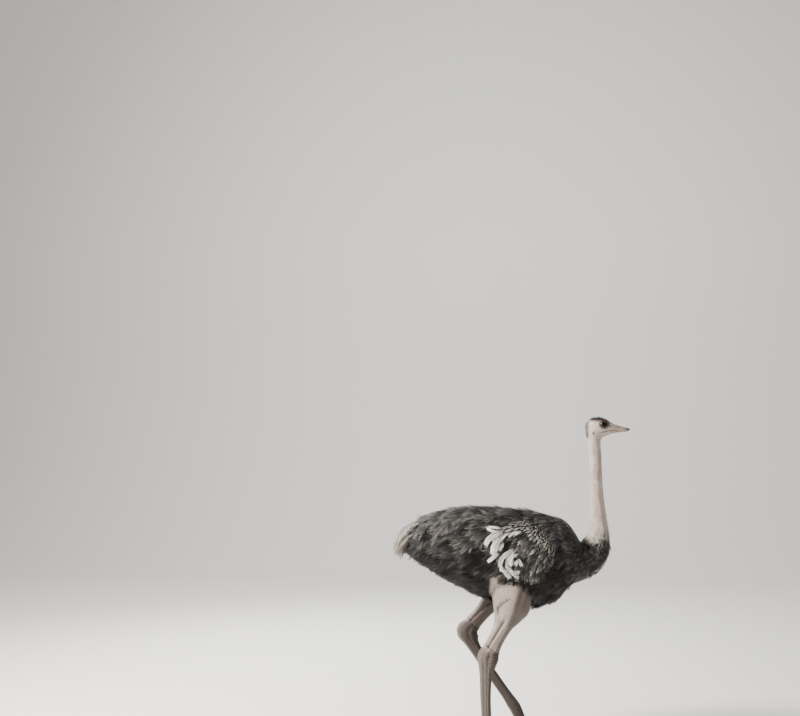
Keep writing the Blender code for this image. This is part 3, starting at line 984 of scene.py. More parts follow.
@dataclass
class Leg:
    """One leg: drumstick, hock, shank and inner toe as one tube, and the outer toe as another."""

    side: Side
    knee: Place
    hock: Place
    ball: Place
    inner_pitches: tuple[float, ...]
    outer_pitches: tuple[float, ...]
    drumstick: Rows = (  # share from knee to hock, half width, back, front
        (0.00, 0.070, 0.125, 0.062),
        (0.12, 0.080, 0.148, 0.078),
        (0.24, 0.084, 0.144, 0.091),
        (0.35, 0.078, 0.118, 0.098),
        (0.46, 0.064, 0.085, 0.078),
        (0.58, 0.050, 0.055, 0.055),
        (0.70, 0.041, 0.046, 0.045),
        (0.82, 0.036, 0.046, 0.042),
    )
    shank: Rows = (  # share from hock to the ball of the foot, and the same
        (0.17, 0.0300, 0.0470, 0.0265),
        (0.26, 0.0265, 0.0440, 0.0215),
        (0.45, 0.0245, 0.0400, 0.0190),
        (0.66, 0.0250, 0.0330, 0.0230),
        (0.80, 0.0265, 0.0295, 0.0275),
        (0.91, 0.0340, 0.0320, 0.0335),
    )
    hock_rounding: float = 0.052
    sole_gap: float = 0.0003

    def toe_rows(self, toe: Toe, pitches: tuple[float, ...]) -> list:
        """Sections of a toe, which starts at the ball of the foot.

        Args:
            toe: The toe.
            pitches: The slope of each of its bones in degrees.

        Returns:
            The rows.
        """
        place, yaw = np.array(self.ball), math.radians(toe.splay * self.side.value)
        rows = []
        for i, (wide, tall) in enumerate(zip(toe.widths, toe.heights)):
            rows.append((*place, wide, tall, tall))
            if i < len(toe.lengths):
                pitch = math.radians(pitches[i])
                flat = toe.lengths[i] * math.cos(pitch)
                place = place + (flat * math.cos(yaw), flat * math.sin(yaw), toe.lengths[i] * math.sin(pitch))
        return rows

    def inner_rows(self) -> list:
        """Sections of the inner toe."""
        return self.toe_rows(INNER_TOE, self.inner_pitches)

    @staticmethod
    def tip(rows: Sequence) -> tuple[Array, Array]:
        """A toe's end and the direction it points in."""
        end, before = np.array(rows[-1][:3]), np.array(rows[-2][:3])
        return end, unit(end - before)

    def inner_tube(self) -> Tube:
        """The drumstick, shank and inner toe.

        Returns:
            One tube.
        """
        knee, hock, ball = (np.array(p) for p in (self.knee, self.hock, self.ball))
        rows = [(*(knee + (hock - knee) * share), *sizes) for share, *sizes in self.drumstick]
        down, on = unit(hock - knee), unit(ball - hock)
        bend = 0.25 * self.hock_rounding * (on - down)
        inwards = float(np.linalg.norm(bend))
        rows.append((*(hock - down * self.hock_rounding), 0.0345, 0.0480, 0.0460))
        rows.append((*(hock + bend), 0.0430, 0.0575 + inwards, 0.0585 - inwards))
        rows.append((*(hock + on * self.hock_rounding), 0.0365, 0.0515, 0.0425))
        rows += [(*(hock + (ball - hock) * share), *sizes) for share, *sizes in self.shank]
        rows += self.inner_rows()
        end, way = self.tip(rows)
        rows.append((*(end + way * 0.007), 0.0090, 0.0090, 0.0090))
        return Tube(rows, 56, 0.0030, 2.1, relief=self.relief(*self.joints_at()))

    def joints_at(self) -> tuple[float, float]:
        """Finds the leg's joints along the inner tube.

        Returns:
            How far along it the hock is, and the ball of the foot.
        """
        knee, hock, ball = (np.array(p) for p in (self.knee, self.hock, self.ball))
        hock_at = float(np.linalg.norm(hock - knee)) - 0.01
        return hock_at, hock_at + float(np.linalg.norm(ball - hock)) - 0.01

    def outer_tube(self) -> Tube:
        """The outer toe.

        Returns:
            A tube that starts inside the foot's ball.
        """
        rows = self.toe_rows(OUTER_TOE, self.outer_pitches)
        end, way = self.tip(rows)
        rows.append((*(end + way * 0.008), 0.0060, 0.0060, 0.0060))
        return Tube(rows, 40, 0.0025, 2.2, relief=self.relief(-1.0, 0.0))

    @staticmethod
    def folds(hock_at: float, length: Array, back: Array) -> Array:
        """The slit and fold behind the drumstick, the groove between its cords, and the crease over the hock.

        Args:
            hock_at: How far along the tube the hock is.
            length: How far along each point is.
            back: The sine of its angle, 1 at the back.

        Returns:
            Four rows, each 1 in the middle of its fold.
        """
        slit = np.exp(-(((length - 0.218) / 0.026) ** 2) - ((back - 0.76 + 3.0 * (length - 0.218)) / 0.14) ** 2)
        within = smooth(0.10, 0.13, length) * smooth(0.215, 0.200, length)
        fold = bell(back - 0.75 + 5.4 * (0.215 - length), 0, 0.09) * within
        shaft = smooth(hock_at - 0.27, hock_at - 0.21, length) * smooth(hock_at - 0.030, hock_at - 0.055, length)
        groove = bell(back - 0.08 - 2.6 * (length - hock_at + 0.245), 0, 0.12) * shaft
        crease = 0.9 * bell(length - hock_at + 0.048 + 0.010 * back, 0, 0.0050)
        return np.stack([slit, fold, groove, crease])

    @staticmethod
    def relief(hock_at: float, ball_at: float) -> Callable[[Array, Array, Array], Array]:
        """The muscles, tendons, knobs and plates of a leg.

        Args:
            hock_at: How far along the tube the hock is.
            ball_at: How far along it the ball of the foot is.

        Returns:
            What gives the outward movement of each point, from its place along, its angle and its position.
        """

        def amount(length: Array, theta: Array, points: Array) -> Array:
            """The outward movement at places along, angles and positions.

            Args:
                length: How far along the tube each is.
                theta: Its angle round the ring.
                points: Its position.

            Returns:
                The movement of each.
            """
            across, back = np.abs(np.cos(theta)), np.sin(theta)
            thigh = 1 - smooth(hock_at - 0.24, hock_at - 0.14, length)
            calf = -6.0 * MM * bell(back + 0.30 + 0.9 * (length - 0.15), 0, 0.13) * thigh
            calf = calf - 4.0 * MM * bell(back, 0.45, 0.11) * thigh * smooth(0.1, 0.2, length)
            outside = smooth(0.15, 0.35, across)
            slit, fold, groove, crease = Leg.folds(hock_at, length, back)
            notch = -(13.0 * slit + 6.0 * fold + 10.0 * groove + 4.0 * crease) * MM * outside
            shaft = smooth(hock_at - 0.27, hock_at - 0.21, length)
            shaft = shaft * (1 - smooth(hock_at - 0.02, hock_at + 0.02, length))
            below = smooth(hock_at + 0.02, hock_at + 0.06, length)
            middle = 0.08 + 2.6 * (length - hock_at + 0.245)
            ridge = 3.5 * MM * bell(np.abs(back - middle), 0.34, 0.16) * shaft
            flexor = -4.0 * MM * bell(back, 0.40, 0.15) * below * (1 - smooth(ball_at - 0.08, ball_at, length))
            near = bell(length, hock_at, 0.034)
            knob = 4.5 * MM * near * bell(across, 1.0, 0.25) - 3.0 * MM * near * bell(back, 0, 0.2)
            creases = 1.5 * MM * np.sin(2 * np.pi * length / 0.0125 + 1.5 * np.sin(2 * theta)) * near
            fine = 0.7 * MM * np.sin(5 * theta + 30 * length) * np.sin(43 * length + 3 * across) * thigh
            strands = 0.5 * MM * np.sin(26 * theta + 3 * np.sin(21 * length)) * thigh
            front = smooth(0.0, 0.25, -back)
            pitch = np.where(length > ball_at, TOE_PITCH, SHANK_PITCH)
            saw = np.mod(length / pitch, 1.0)
            plates = (2.4 * MM * saw**0.8 - 1.2 * MM) * smooth(hock_at - 0.03, hock_at + 0.01, length) * front
            split = -4.0 * MM * bell(back, 0.06, 0.10) * smooth(-0.03, -0.01, length - hock_at) * outside
            beads = 1.4 * MM * np.abs(np.sin(np.pi * length / BEAD_PITCH)) * bell(back, 0.62, 0.10) * below
            split = split + beads * outside
            return calf + notch + ridge + flexor + knob + creases + fine + strands + plates + split

        return amount

    def floor(self, points: Array) -> Array:
        """The points, with whatever lies under the floor brought up to it.

        Args:
            points: Points of the leg.

        Returns:
            The moved points.
        """
        points = points.copy()
        points[:, 2] = np.maximum(points[:, 2], self.sole_gap)
        return points


LEGS = (
    Leg(
        side=Side.RIGHT,
        knee=(0.215, -0.135, 1.020),
        hock=(0.010, -0.080, 0.573),
        ball=(0.000, -0.036, 0.083),
        inner_pitches=(-52, -6, -2, -8),
        outer_pitches=(-50, -18, -7, -4),
    ),
    Leg(
        side=Side.LEFT,
        knee=(0.200, 0.135, 1.054),
        hock=(-0.113, 0.115, 0.679),
        ball=(0.167, 0.102, 0.2458),
        inner_pitches=(-70, -90, -103, -106),
        outer_pitches=(-58, -76, -92, -96),
    ),
)


@dataclass
class Skin:
    """All of the flesh as one closed skin, from the bill to the toes."""

    head_and_neck: HeadAndNeck
    legs: Sequence[Leg]
    depth: float = 0.032

    def build(self, finish: BareSkin) -> Object:
        """Joins the forms and marks where scales, the dark crown and the feathers are, and where shade is painted
        round the eye, in the ear, along the jaw, on the legs and under the feathers.

        Args:
            finish: The skin's finish.

        Returns:
            The finished piece.
        """
        trunk = trunk_tube(self.depth, 0.020, 64)
        neck = self.head_and_neck.tube()
        parts = [("trunk", *trunk.closed_mesh()), ("neck", *neck.closed_mesh())]
        for leg in self.legs:
            for label, tube in (("leg", leg.inner_tube()), ("toe", leg.outer_tube())):
                points, faces = tube.closed_mesh()
                marks = self.leg_marks(leg, tube, label)
                parts.append((label, leg.floor(points), faces, marks))
            parts.append(("lid", *self.head_and_neck.lids(leg.side)))
        skin, known = None, []
        for name, points, faces, *marks in parts:
            made = closed_object(f"skin_{name}", points, faces)
            known.append((points, marks[0] if marks else self.marks(name, points)))
            if skin is None:
                skin = made
                continue
            self.join(skin, made)
        self.soften(skin, known)
        self.mark(skin, known)
        skin.name = "skin"
        nodes = ["head", "neck", "trunk"]
        for side in ("left", "right"):
            nodes += [f"{part}_{side}" for part in ("thigh", "shank", "toe_inner", "toe_outer")]
        finish_piece(skin, "bare_skin", finish.material(), *nodes)
        return skin

    @staticmethod
    def join(skin: Object, other: Object) -> None:
        """Unites the skin with another closed form, which is then removed.

        Args:
            skin: The skin.
            other: The closed form.
        """
        union = skin.modifiers.new("join", "BOOLEAN")
        union.operation, union.solver, union.object = "UNION", "MANIFOLD", other
        skin.data = applied(skin, union)
        discard([other])

    @staticmethod
    def soften(skin: Object, known: list) -> None:
        """Smooths the creases where two forms meet.

        Args:
            skin: The joined skin.
            known: The points that the forms were made from.
        """
        tree = nearest(np.concatenate([points + SHIFT for points, _ in known]))
        with edited(skin.data) as shape:
            fresh = {v for v in shape.verts if tree.find(v.co)[2] > 1e-5 and v.co.z > 0.002}
            band = set(fresh)
            for _ in range(2):
                band |= {e.other_vert(v) for v in band for e in v.link_edges}
            axes = {f"use_axis_{axis}": True for axis in "xyz"}
            for _ in range(6):
                bmesh.ops.smooth_vert(shape, verts=list(band), factor=0.5, **axes)
        skin.data.shade_smooth()

    @staticmethod
    def marks(name: str, points: Array) -> Array:
        """For each point, how scaly, dark (the crown, and painted shade round the eye, in the ear and along the jaw),
        painted dark as shade under the feathers, and edged the skin is there.

        Args:
            name: Which form the points belong to.
            points: The points.

        Returns:
            Four columns from 0 to 1.
        """
        made = np.zeros((len(points), 4))
        x, y, z = points.T
        if name == "trunk":
            made[:, 2] = 1 - bare_thigh(points)
        elif name == "neck":
            crown = smooth(1.872, 1.892, z + 0.10 * (x - 0.64)) * smooth(0.735, 0.715, x)
            nape = smooth(0.594, 0.578, x) * smooth(1.76, 1.84, z)
            wide = np.abs(y)
            # painted shade in the crown's colour: a dark ring round the eye, the lore before it, a line along the jaw
            # and gape, and the ear opening
            eye = np.sqrt(((x - 0.668) / 1.25) ** 2 + (z - 1.866) ** 2) + 0.3 * np.maximum(0.02 - wide, 0)
            lore = np.hypot((x - 0.702) / 0.022, (z - 1.858 + 0.3 * (x - 0.702)) / 0.007)
            jaw = np.hypot((x - 0.676) / 0.030, (z - 1.8265 - 0.20 * (x - 0.676)) / 0.0032)
            ear = np.hypot((x - 0.608) / 0.8, (z - 1.817) / 1.25)
            dark = [crown, 0.6 * nape, 0.85 * smooth(0.0300, 0.0205, eye), smooth(0.0085, 0.0040, ear)]
            made[:, 1] = np.maximum.reduce([*dark, 0.6 * bell(lore, 0, 1), 0.9 * bell(jaw, 0, 1)])
            made[:, 2] = 1 - smooth(1.180, 1.240, z)
        elif name == "lid":
            made[:, 1] = 1.0
        return made

    @staticmethod
    def leg_marks(leg: Leg, tube: Tube, label: str) -> Array:
        """The same four columns for the points of a leg or toe.

        Args:
            leg: The leg.
            tube: The form.
            label: "leg" or "toe".

        Returns:
            Four columns from 0 to 1.
        """
        count, sides = tube.ring_points.shape[:2]
        length = np.repeat(tube.lengths, sides)
        theta = np.tile(2 * np.pi * np.arange(sides) / sides, count)
        back = np.sin(theta)
        hock_at, ball_at = leg.joints_at()
        made = np.zeros((count * sides + 2, 4))
        scaly = np.ones(count * sides) if label == "toe" else smooth(hock_at - 0.055, hock_at - 0.030, length)
        if label == "leg":
            outside = np.abs(np.cos(theta)) > 0.2
            offset = tube.ring_points[..., 1] - tube.centres[:, None, 1]
            inner = smooth(0.0, 0.5, -leg.side.value * offset / np.abs(offset).max(1, keepdims=True)).ravel()
            # painted shade: the slit, fold, groove and crease darkened in the crown's colour
            made[:-2, 1] = np.clip(Leg.folds(hock_at, length, back).sum(0), 0, 1) * outside
            # painted shade in the crown's colour: the drumstick's front, the front of the whole leg and each leg's
            # inner side are darkened; the 0.44 share darkens all the bare skin above the hock
            split = 0.55 - 2.0 * np.clip(length, 0, 0.35)
            front = smooth(split - 0.05, split - 0.45, back) * (1 - scaly) * (1 - smooth(0.26, 0.34, length))
            front = np.maximum(0.88 * front, 0.84 * smooth(0.05, 0.60, -back))
            front = np.maximum(front, 0.94 * inner * smooth(0.92, 0.60, back))
            made[:-2, 1] = np.maximum(made[:-2, 1], np.maximum(front, 0.44 * (1 - scaly)))
        pitch = np.where((length > ball_at) | (label == "toe"), TOE_PITCH, SHANK_PITCH)
        edge = 1 - smooth(0.0, 0.30, np.mod(length / pitch, 1.0))
        made[:-2, 0] = scaly
        made[:-2, 3] = edge * scaly * smooth(0.0, 0.2, -back)
        if label == "leg":
            past = length - hock_at
            # painted shade in the hock's grooves
            grooves = bell(back, 0.06, 0.09) * smooth(-0.03, -0.01, past)
            grooves = grooves + bell(back, 0.55, 0.07) * smooth(-0.03, -0.01, past) * (past < 0.07)
            made[:-2, 1] = np.maximum(made[:-2, 1], 0.8 * grooves * outside * (length < ball_at - 0.05))
            beads = bell(back, 0.62, 0.10) * smooth(0.07, 0.09, past) * (length < ball_at - 0.05)
            beads = beads * outside * (np.abs(np.sin(np.pi * length / BEAD_PITCH)) < 0.5)
            made[:-2, 3] = np.maximum(made[:-2, 3], 0.9 * beads)
        made[-2:, 0] = scaly[[0, -1]]
        return made

    @staticmethod
    def mark(skin: Object, known: list) -> None:
        """Stores the marks on the joined skin, each point taking them from the nearest one it was made from.

        Args:
            skin: The joined skin.
            known: Points and marks of the forms.
        """
        tree = nearest(np.concatenate([p for p, _ in known]))
        marks = np.concatenate([m for _, m in known])
        closest = [tree.find(p)[1] for p in mesh_points(skin.data)]
        for k, name in enumerate(("scaly", "crown", "hidden", "edge")):
            store(skin.data, name, marks[closest, k])


# Horn and eyes


@dataclass
class Bill:
    """The two halves of the bill, closed: flat and broad, with a nail at the tip and long nostrils in a groove."""

    lines: Rows = (  # place, upper height, lower depth, half width
        (0.8150, 0.0040, 0.0018, 0.0045),
        (0.8128, 0.0078, 0.0034, 0.0085),
        (0.8050, 0.0122, 0.0052, 0.0128),
        (0.7880, 0.0165, 0.0077, 0.0172),
        (0.7600, 0.0235, 0.0112, 0.0225),
        (0.7300, 0.0320, 0.0150, 0.0265),
        (0.7060, 0.0370, 0.0180, 0.0288),
        (0.6940, 0.0370, 0.0190, 0.0285),
    )
    gape: float = 1.8330
    gap: float = 0.0006
    rings: int = 150
    sides: int = 96

    def half(self, upper: bool) -> tuple[Array, list]:
        """One half.

        Args:
            upper: Whether it is the upper one.

        Returns:
            Its points and faces.
        """
        rows = np.array(self.lines)
        stations = (len(rows) - 1) * np.linspace(0, 1, self.rings) ** 1.25
        x, tall, deep, wide = through(rows, stations).T
        x = x - (0.0 if upper else 0.0065 * smooth(0.79, 0.815, x))
        wide = wide * (1.0 if upper else 0.93)
        reach = tall if upper else deep
        ring_points = []
        u = np.cos(np.linspace(0, np.pi, self.sides // 2))
        dome = (1 - np.abs(u) ** 2.6) ** 0.62
        for place, height, half_width in zip(x, reach, wide):
            share = (self.lines[0][0] - place) / 0.12
            line = dome.copy()
            if upper:
                ridge = 0.10 * bell(u, 0, 0.20) * smooth(0.15, 0.5, np.array(share))
                groove = -0.15 * bell(np.abs(u), 0.66, 0.10) * smooth(0.10, 0.3, np.array(share))
                nail = 0.10 * smooth(0.20, 0.14, np.array(share)) * (np.abs(u) < 0.75)
                hole = np.exp(-((((place - 0.7520) / 0.0085) ** 2) ** 1.5)) * bell(np.abs(u), 0.72, 0.08)
                line = line * (1 + ridge + groove + nail) - 0.26 * hole
                line /= 1.06
            curve = 0.0010 * np.sin(np.pi * min(share, 1.0))
            edge = self.gape + (self.gap if upper else -self.gap) + curve
            out = np.stack([np.full(len(u), place), u * half_width, edge + (1 if upper else -1) * height * line], 1)
            back = np.linspace(-1, 1, self.sides // 4 + 2)[1:-1] * half_width
            flat = np.stack([np.full(len(back), place), back, np.full(len(back), edge)], 1)
            ring_points.append(np.concatenate([out, flat]))
        grid = np.array(ring_points)
        count, sides = grid.shape[:2]
        points = np.concatenate([grid.reshape(-1, 3), grid[:1].mean(1), grid[-1:].mean(1)])
        return points, capped_faces(count, sides)

    def build(self, finish: Horn) -> None:
        """Makes both halves.

        Args:
            finish: Their finish.
        """
        material = finish.material()
        for upper, name in ((True, "bill_upper"), (False, "bill_lower")):
            points, faces = self.half(upper)
            made = closed_object(f"{name}_horn", points, faces)
            x, y, z = (points - [0, 0, self.gape]).T
            y = np.abs(y)
            nostril = np.exp(-(((x - 0.7520) / 0.0085) ** 4)) if upper else 0 * x
            # painted shade: the nostril's pit and the line along the gape are darkened with the tip's colour; the tip
            # and ridge are the horn's own
            pit = 1.4 * nostril * bell(y, 0.0170, 0.0020) * (z > 0.006)
            lip = 0.7 * bell(z, 0.0006, 0.0012) * smooth(0.81, 0.79, x)
            ridge = 0.5 * bell(y, 0, 0.005) * (z > 0.004) * (1.0 if upper else 0.0)
            store(made.data, "tip", np.clip(0.85 * smooth(0.770, 0.806, x) + pit + lip + ridge, 0, 1))
            finish_piece(made, "bill_horn", material, name)


@dataclass
class Eyes:
    """The two eyeballs, each with a slightly bulging cornea over a dark iris."""

    head: HeadAndNeck
    segments: int = 72
    bulge: float = 0.035

    def build(self, finish: WetEye) -> None:
        """Makes both.

        Args:
            finish: Their finish.
        """
        material = finish.material()
        for side in Side:
            centre, axis, first, second = self.head.eye_axes(side)
            turn = np.linspace(0, np.pi, self.segments // 2 + 1)[1:-1]
            phi = np.linspace(0, 2 * np.pi, self.segments + 1)[:-1]
            radius = self.head.eye_radius * (1 + self.bulge * (1 - smooth(0.25, 0.75, turn)))
            flat = np.cos(phi)[None, :, None] * first + np.sin(phi)[None, :, None] * second
            rings = np.cos(turn)[:, None, None] * axis + np.sin(turn)[:, None, None] * flat
            grid = radius[:, None, None] * rings
            poles = np.stack([axis * radius[0], -axis * radius[-1]])
            points = centre + np.concatenate([grid.reshape(-1, 3), poles])
            made = closed_object(f"eyeball_{side.word}", points, capped_faces(len(turn), len(phi)))
            angle = np.concatenate([np.repeat(turn, len(phi)), [0, np.pi]]) / (np.pi / 2)
            store(made.data, "outwards", angle)
            finish_piece(made, "eye", material, f"eye_{side.word}")


@dataclass
class Claws:
    """The nail on each inner toe: a blunt, worn, slightly curved spike."""

    legs: Sequence[Leg]
    length: float = 0.046
    half_width: float = 0.0115
    half_height: float = 0.0085
    reach: float = 0.014
    shape: Rows = (  # share along, size, lift
        (0.00, 0.55, 0.0080),
        (0.08, 0.80, 0.0086),
        (0.30, 1.00, 0.0090),
        (0.62, 0.88, 0.0070),
        (0.88, 0.52, 0.0025),
        (0.97, 0.30, 0.0000),
        (1.00, 0.12, -0.0010),
    )

    def build(self, finish: Horn) -> None:
        """Makes both.

        Args:
            finish: Their finish.
        """
        material = finish.material()
        for leg in self.legs:
            tip, along = leg.tip(leg.inner_rows())
            side = unit(np.array([0.0, 1.0, 0.0]) - along[1] * along)
            upper = -np.cross(side, along)
            root = tip + along * (self.reach - self.length)
            rows = []
            for share, size, lift in self.shape:
                place = root + along * self.length * share + upper * lift
                rows.append((*place, self.half_width * size, self.half_height * size, self.half_height * size))
            tube = Tube(rows, 40, 0.0008, 2.0, relief=self.wear)
            points, faces = tube.closed_mesh()
            made = closed_object(f"nail_{leg.side.word}", leg.floor(points), faces)
            share = np.repeat(tube.lengths / tube.lengths[-1], tube.sides)
            store(made.data, "tip", np.concatenate([smooth(0.5, 1.0, share), [0.0, 1.0]]))
            finish_piece(made, "claw_horn", material, f"claw_{leg.side.word}")

    @staticmethod
    def wear(length: Array, theta: Array, points: Array) -> Array:
        """The ridge along the top and the growth rings."""
        ridge = 0.7 * MM * bell(np.sin(theta) + 1, 0, 0.12)
        return ridge + 0.12 * MM * np.sin(2 * np.pi * length / 0.0034 + np.sin(3 * theta))


# Plumage


@dataclass
class Blades:
    """A growing set of thin pointed blades, the barbs and locks that feathers are built from."""

    points: list = field(default_factory=list)
    faces: list = field(default_factory=list)
    along: list = field(default_factory=list)
    patch: list = field(default_factory=list)
    tone: list = field(default_factory=list)
    count: int = 0

    def add(
        self,
        start: Array,
        way: Array,
        bend: Array,
        across: Array,
        length: Array,
        width: Array,
        along: tuple[Array, Array],
        patch: Array,
        tone: Array,
        cuts: int = 2,
    ) -> None:
        """Adds blades, each a curved strip that ends in a point.

        Args:
            start: Where each starts.
            way: The direction each starts in.
            bend: Where each bends to, added in full at its tip, as a share of its length.
            across: The direction each is wide in.
            length: Each one's length.
            width: Each one's full width.
            along: How far along its feather each starts and ends, from 0 to 1.
            patch: Each one's place in its feather's patch of the map, two columns.
            tone: Each one's tone.
            cuts: Quads in each before its pointed end.
        """
        n = len(start)
        shares = np.linspace(0, 1, cuts + 2)
        swell = np.interp(shares, [0, 0.45, 0.85, 1.0], [0.62, 1.0, 0.72, 0.0])
        rows = []
        for share, size in zip(shares, swell):
            middle = start + length[:, None] * (way * share + bend * share**2)
            edge = across * (width * size / 2)[:, None]
            rows += [middle] if size == 0 else [middle - edge, middle + edge]
        grid = np.stack(rows, 1)
        per = grid.shape[1]
        self.points.append(grid.reshape(-1, 3))
        base = self.count + per * np.arange(n)[:, None]
        for k in range(cuts):
            quad = np.array([2 * k, 2 * k + 1, 2 * k + 3, 2 * k + 2])
            self.faces.append(base + quad)
        self.faces.append(base + np.array([2 * cuts, 2 * cuts + 1, 2 * cuts + 2]))
        levels = np.concatenate([np.repeat(shares[:-1], 2), shares[-1:]])
        self.along.append((along[0][:, None] + (along[1] - along[0])[:, None] * levels).ravel())
        self.patch.append(np.repeat(patch, per, 0))
        self.tone.append(np.repeat(tone, per))
        self.count += n * per

    def mesh(self, name: str, shift: bool = True) -> Object:
        """The blades as one object, with their attributes.

        Args:
            name: The object's name.
            shift: Whether it is moved to where the solids stand.

        Returns:
            The object.
        """
        points = np.concatenate(self.points)
        faces = [face for block in self.faces for face in block.tolist()]
        made = make_object(name, points, faces, shift)
        store(made.data, "along", np.clip(np.concatenate(self.along), 0, 1))
        store(made.data, "tone", np.concatenate(self.tone))
        patch = np.concatenate([np.concatenate(self.patch), np.zeros((self.count, 1))], 1)
        store(made.data, "patch", patch, "FLOAT_VECTOR")
        return made


@dataclass
class FeatherShape:
    """One loose-barbed feather of unit length along X, with Z outwards, cut into pointed locks."""

    locks: int = 12
    first: float = 0.26
    lock_length: float = 0.44
    lock_width: float = 0.025
    cuts: int = 2
    spread: float = 50.0
    close: float = 0.55
    droop: float = 0.20
    sweep: float = 0.09
    shaft: float = 0.018
    loose: float = 1.0
    vane: float = 0.0

    def build(self, name: str, seed: int) -> Object:
        """Makes one.

        Args:
            name: Its name.
            seed: What its unevenness comes from.

        Returns:
            The object.
        """
        rng = np.random.default_rng(seed)
        droop = self.droop * rng.uniform(0.7, 1.3)
        sweep = self.sweep * rng.normal()

        def spine(s: Array) -> Array:
            """Points of the shaft at shares of its length."""
            return np.stack([s - 0.10 * s**3, sweep * s**2, -droop * s**2], -1)

        blades = Blades()
        flat = np.array([[0.0, 1.0, 0.0]])
        zero, one = np.zeros(1), np.ones(1)
        ahead, middle_patch = np.array([[1.0, 0, 0]]), np.array([[0.5, 0.5]])
        sag = np.array([[-0.10, sweep, -droop]])
        blades.add(spine(zero), ahead, sag, flat, one, one * self.shaft, (zero, one), middle_patch, one * 0.0)
        for hand in (-1, 1) if self.vane else ():
            middle = np.array([[0.0, hand * self.vane / 4, -0.03 * self.vane]])
            arch = unit(np.array([[0.0, 1.0, -hand * 0.28]]))
            bend = np.array([[-0.10, sweep - hand * self.vane * 0.10, -droop]])
            part = np.array([[0.5, 0.5 + 0.2 * hand]])
            wide = one * 0.55 * self.vane
            blades.add(middle, ahead, bend, arch, one, wide, (zero, one), part, zero, 4)
        for hand in (-1, 1):
            s = np.linspace(self.first, 0.95, self.locks) + rng.uniform(-0.03, 0.03, self.locks)
            turn = np.radians(self.spread * (1 - self.close * s) + self.loose * rng.uniform(-9, 9, self.locks))
            up = self.loose * rng.uniform(-0.12, 0.14, self.locks)
            way = np.stack([np.cos(turn), hand * np.sin(turn), up - 0.3 * s * droop], -1)
            length = self.lock_length * (1.0 - 0.40 * np.abs(s - 0.45)) * rng.uniform(0.75, 1.2, self.locks)
            bend = np.stack([0.22 * np.sin(turn), -hand * 0.50 * np.sin(turn), -0.22 - up], -1)
            bend = bend + self.loose * rng.normal(0, 0.14, (self.locks, 3))
            roll = self.loose * rng.uniform(-0.4, 0.4, self.locks)
            across = np.stack([-np.sin(turn) * np.cos(roll), hand * np.cos(turn) * np.cos(roll), np.sin(roll)], -1)
            width = self.lock_width * rng.uniform(0.75, 1.3, self.locks)
            patch = np.stack([s, 0.5 + hand * 0.25 + 0 * s], -1)
            tone = rng.uniform(-0.12, 0.10, self.locks) + 0.35 * (rng.random(self.locks) < 0.16)
            blades.add(spine(s), way, bend, across, length, width, (0.75 * s, 0.55 * s + 0.5), patch, tone, self.cuts)
        return blades.mesh(name, shift=False)


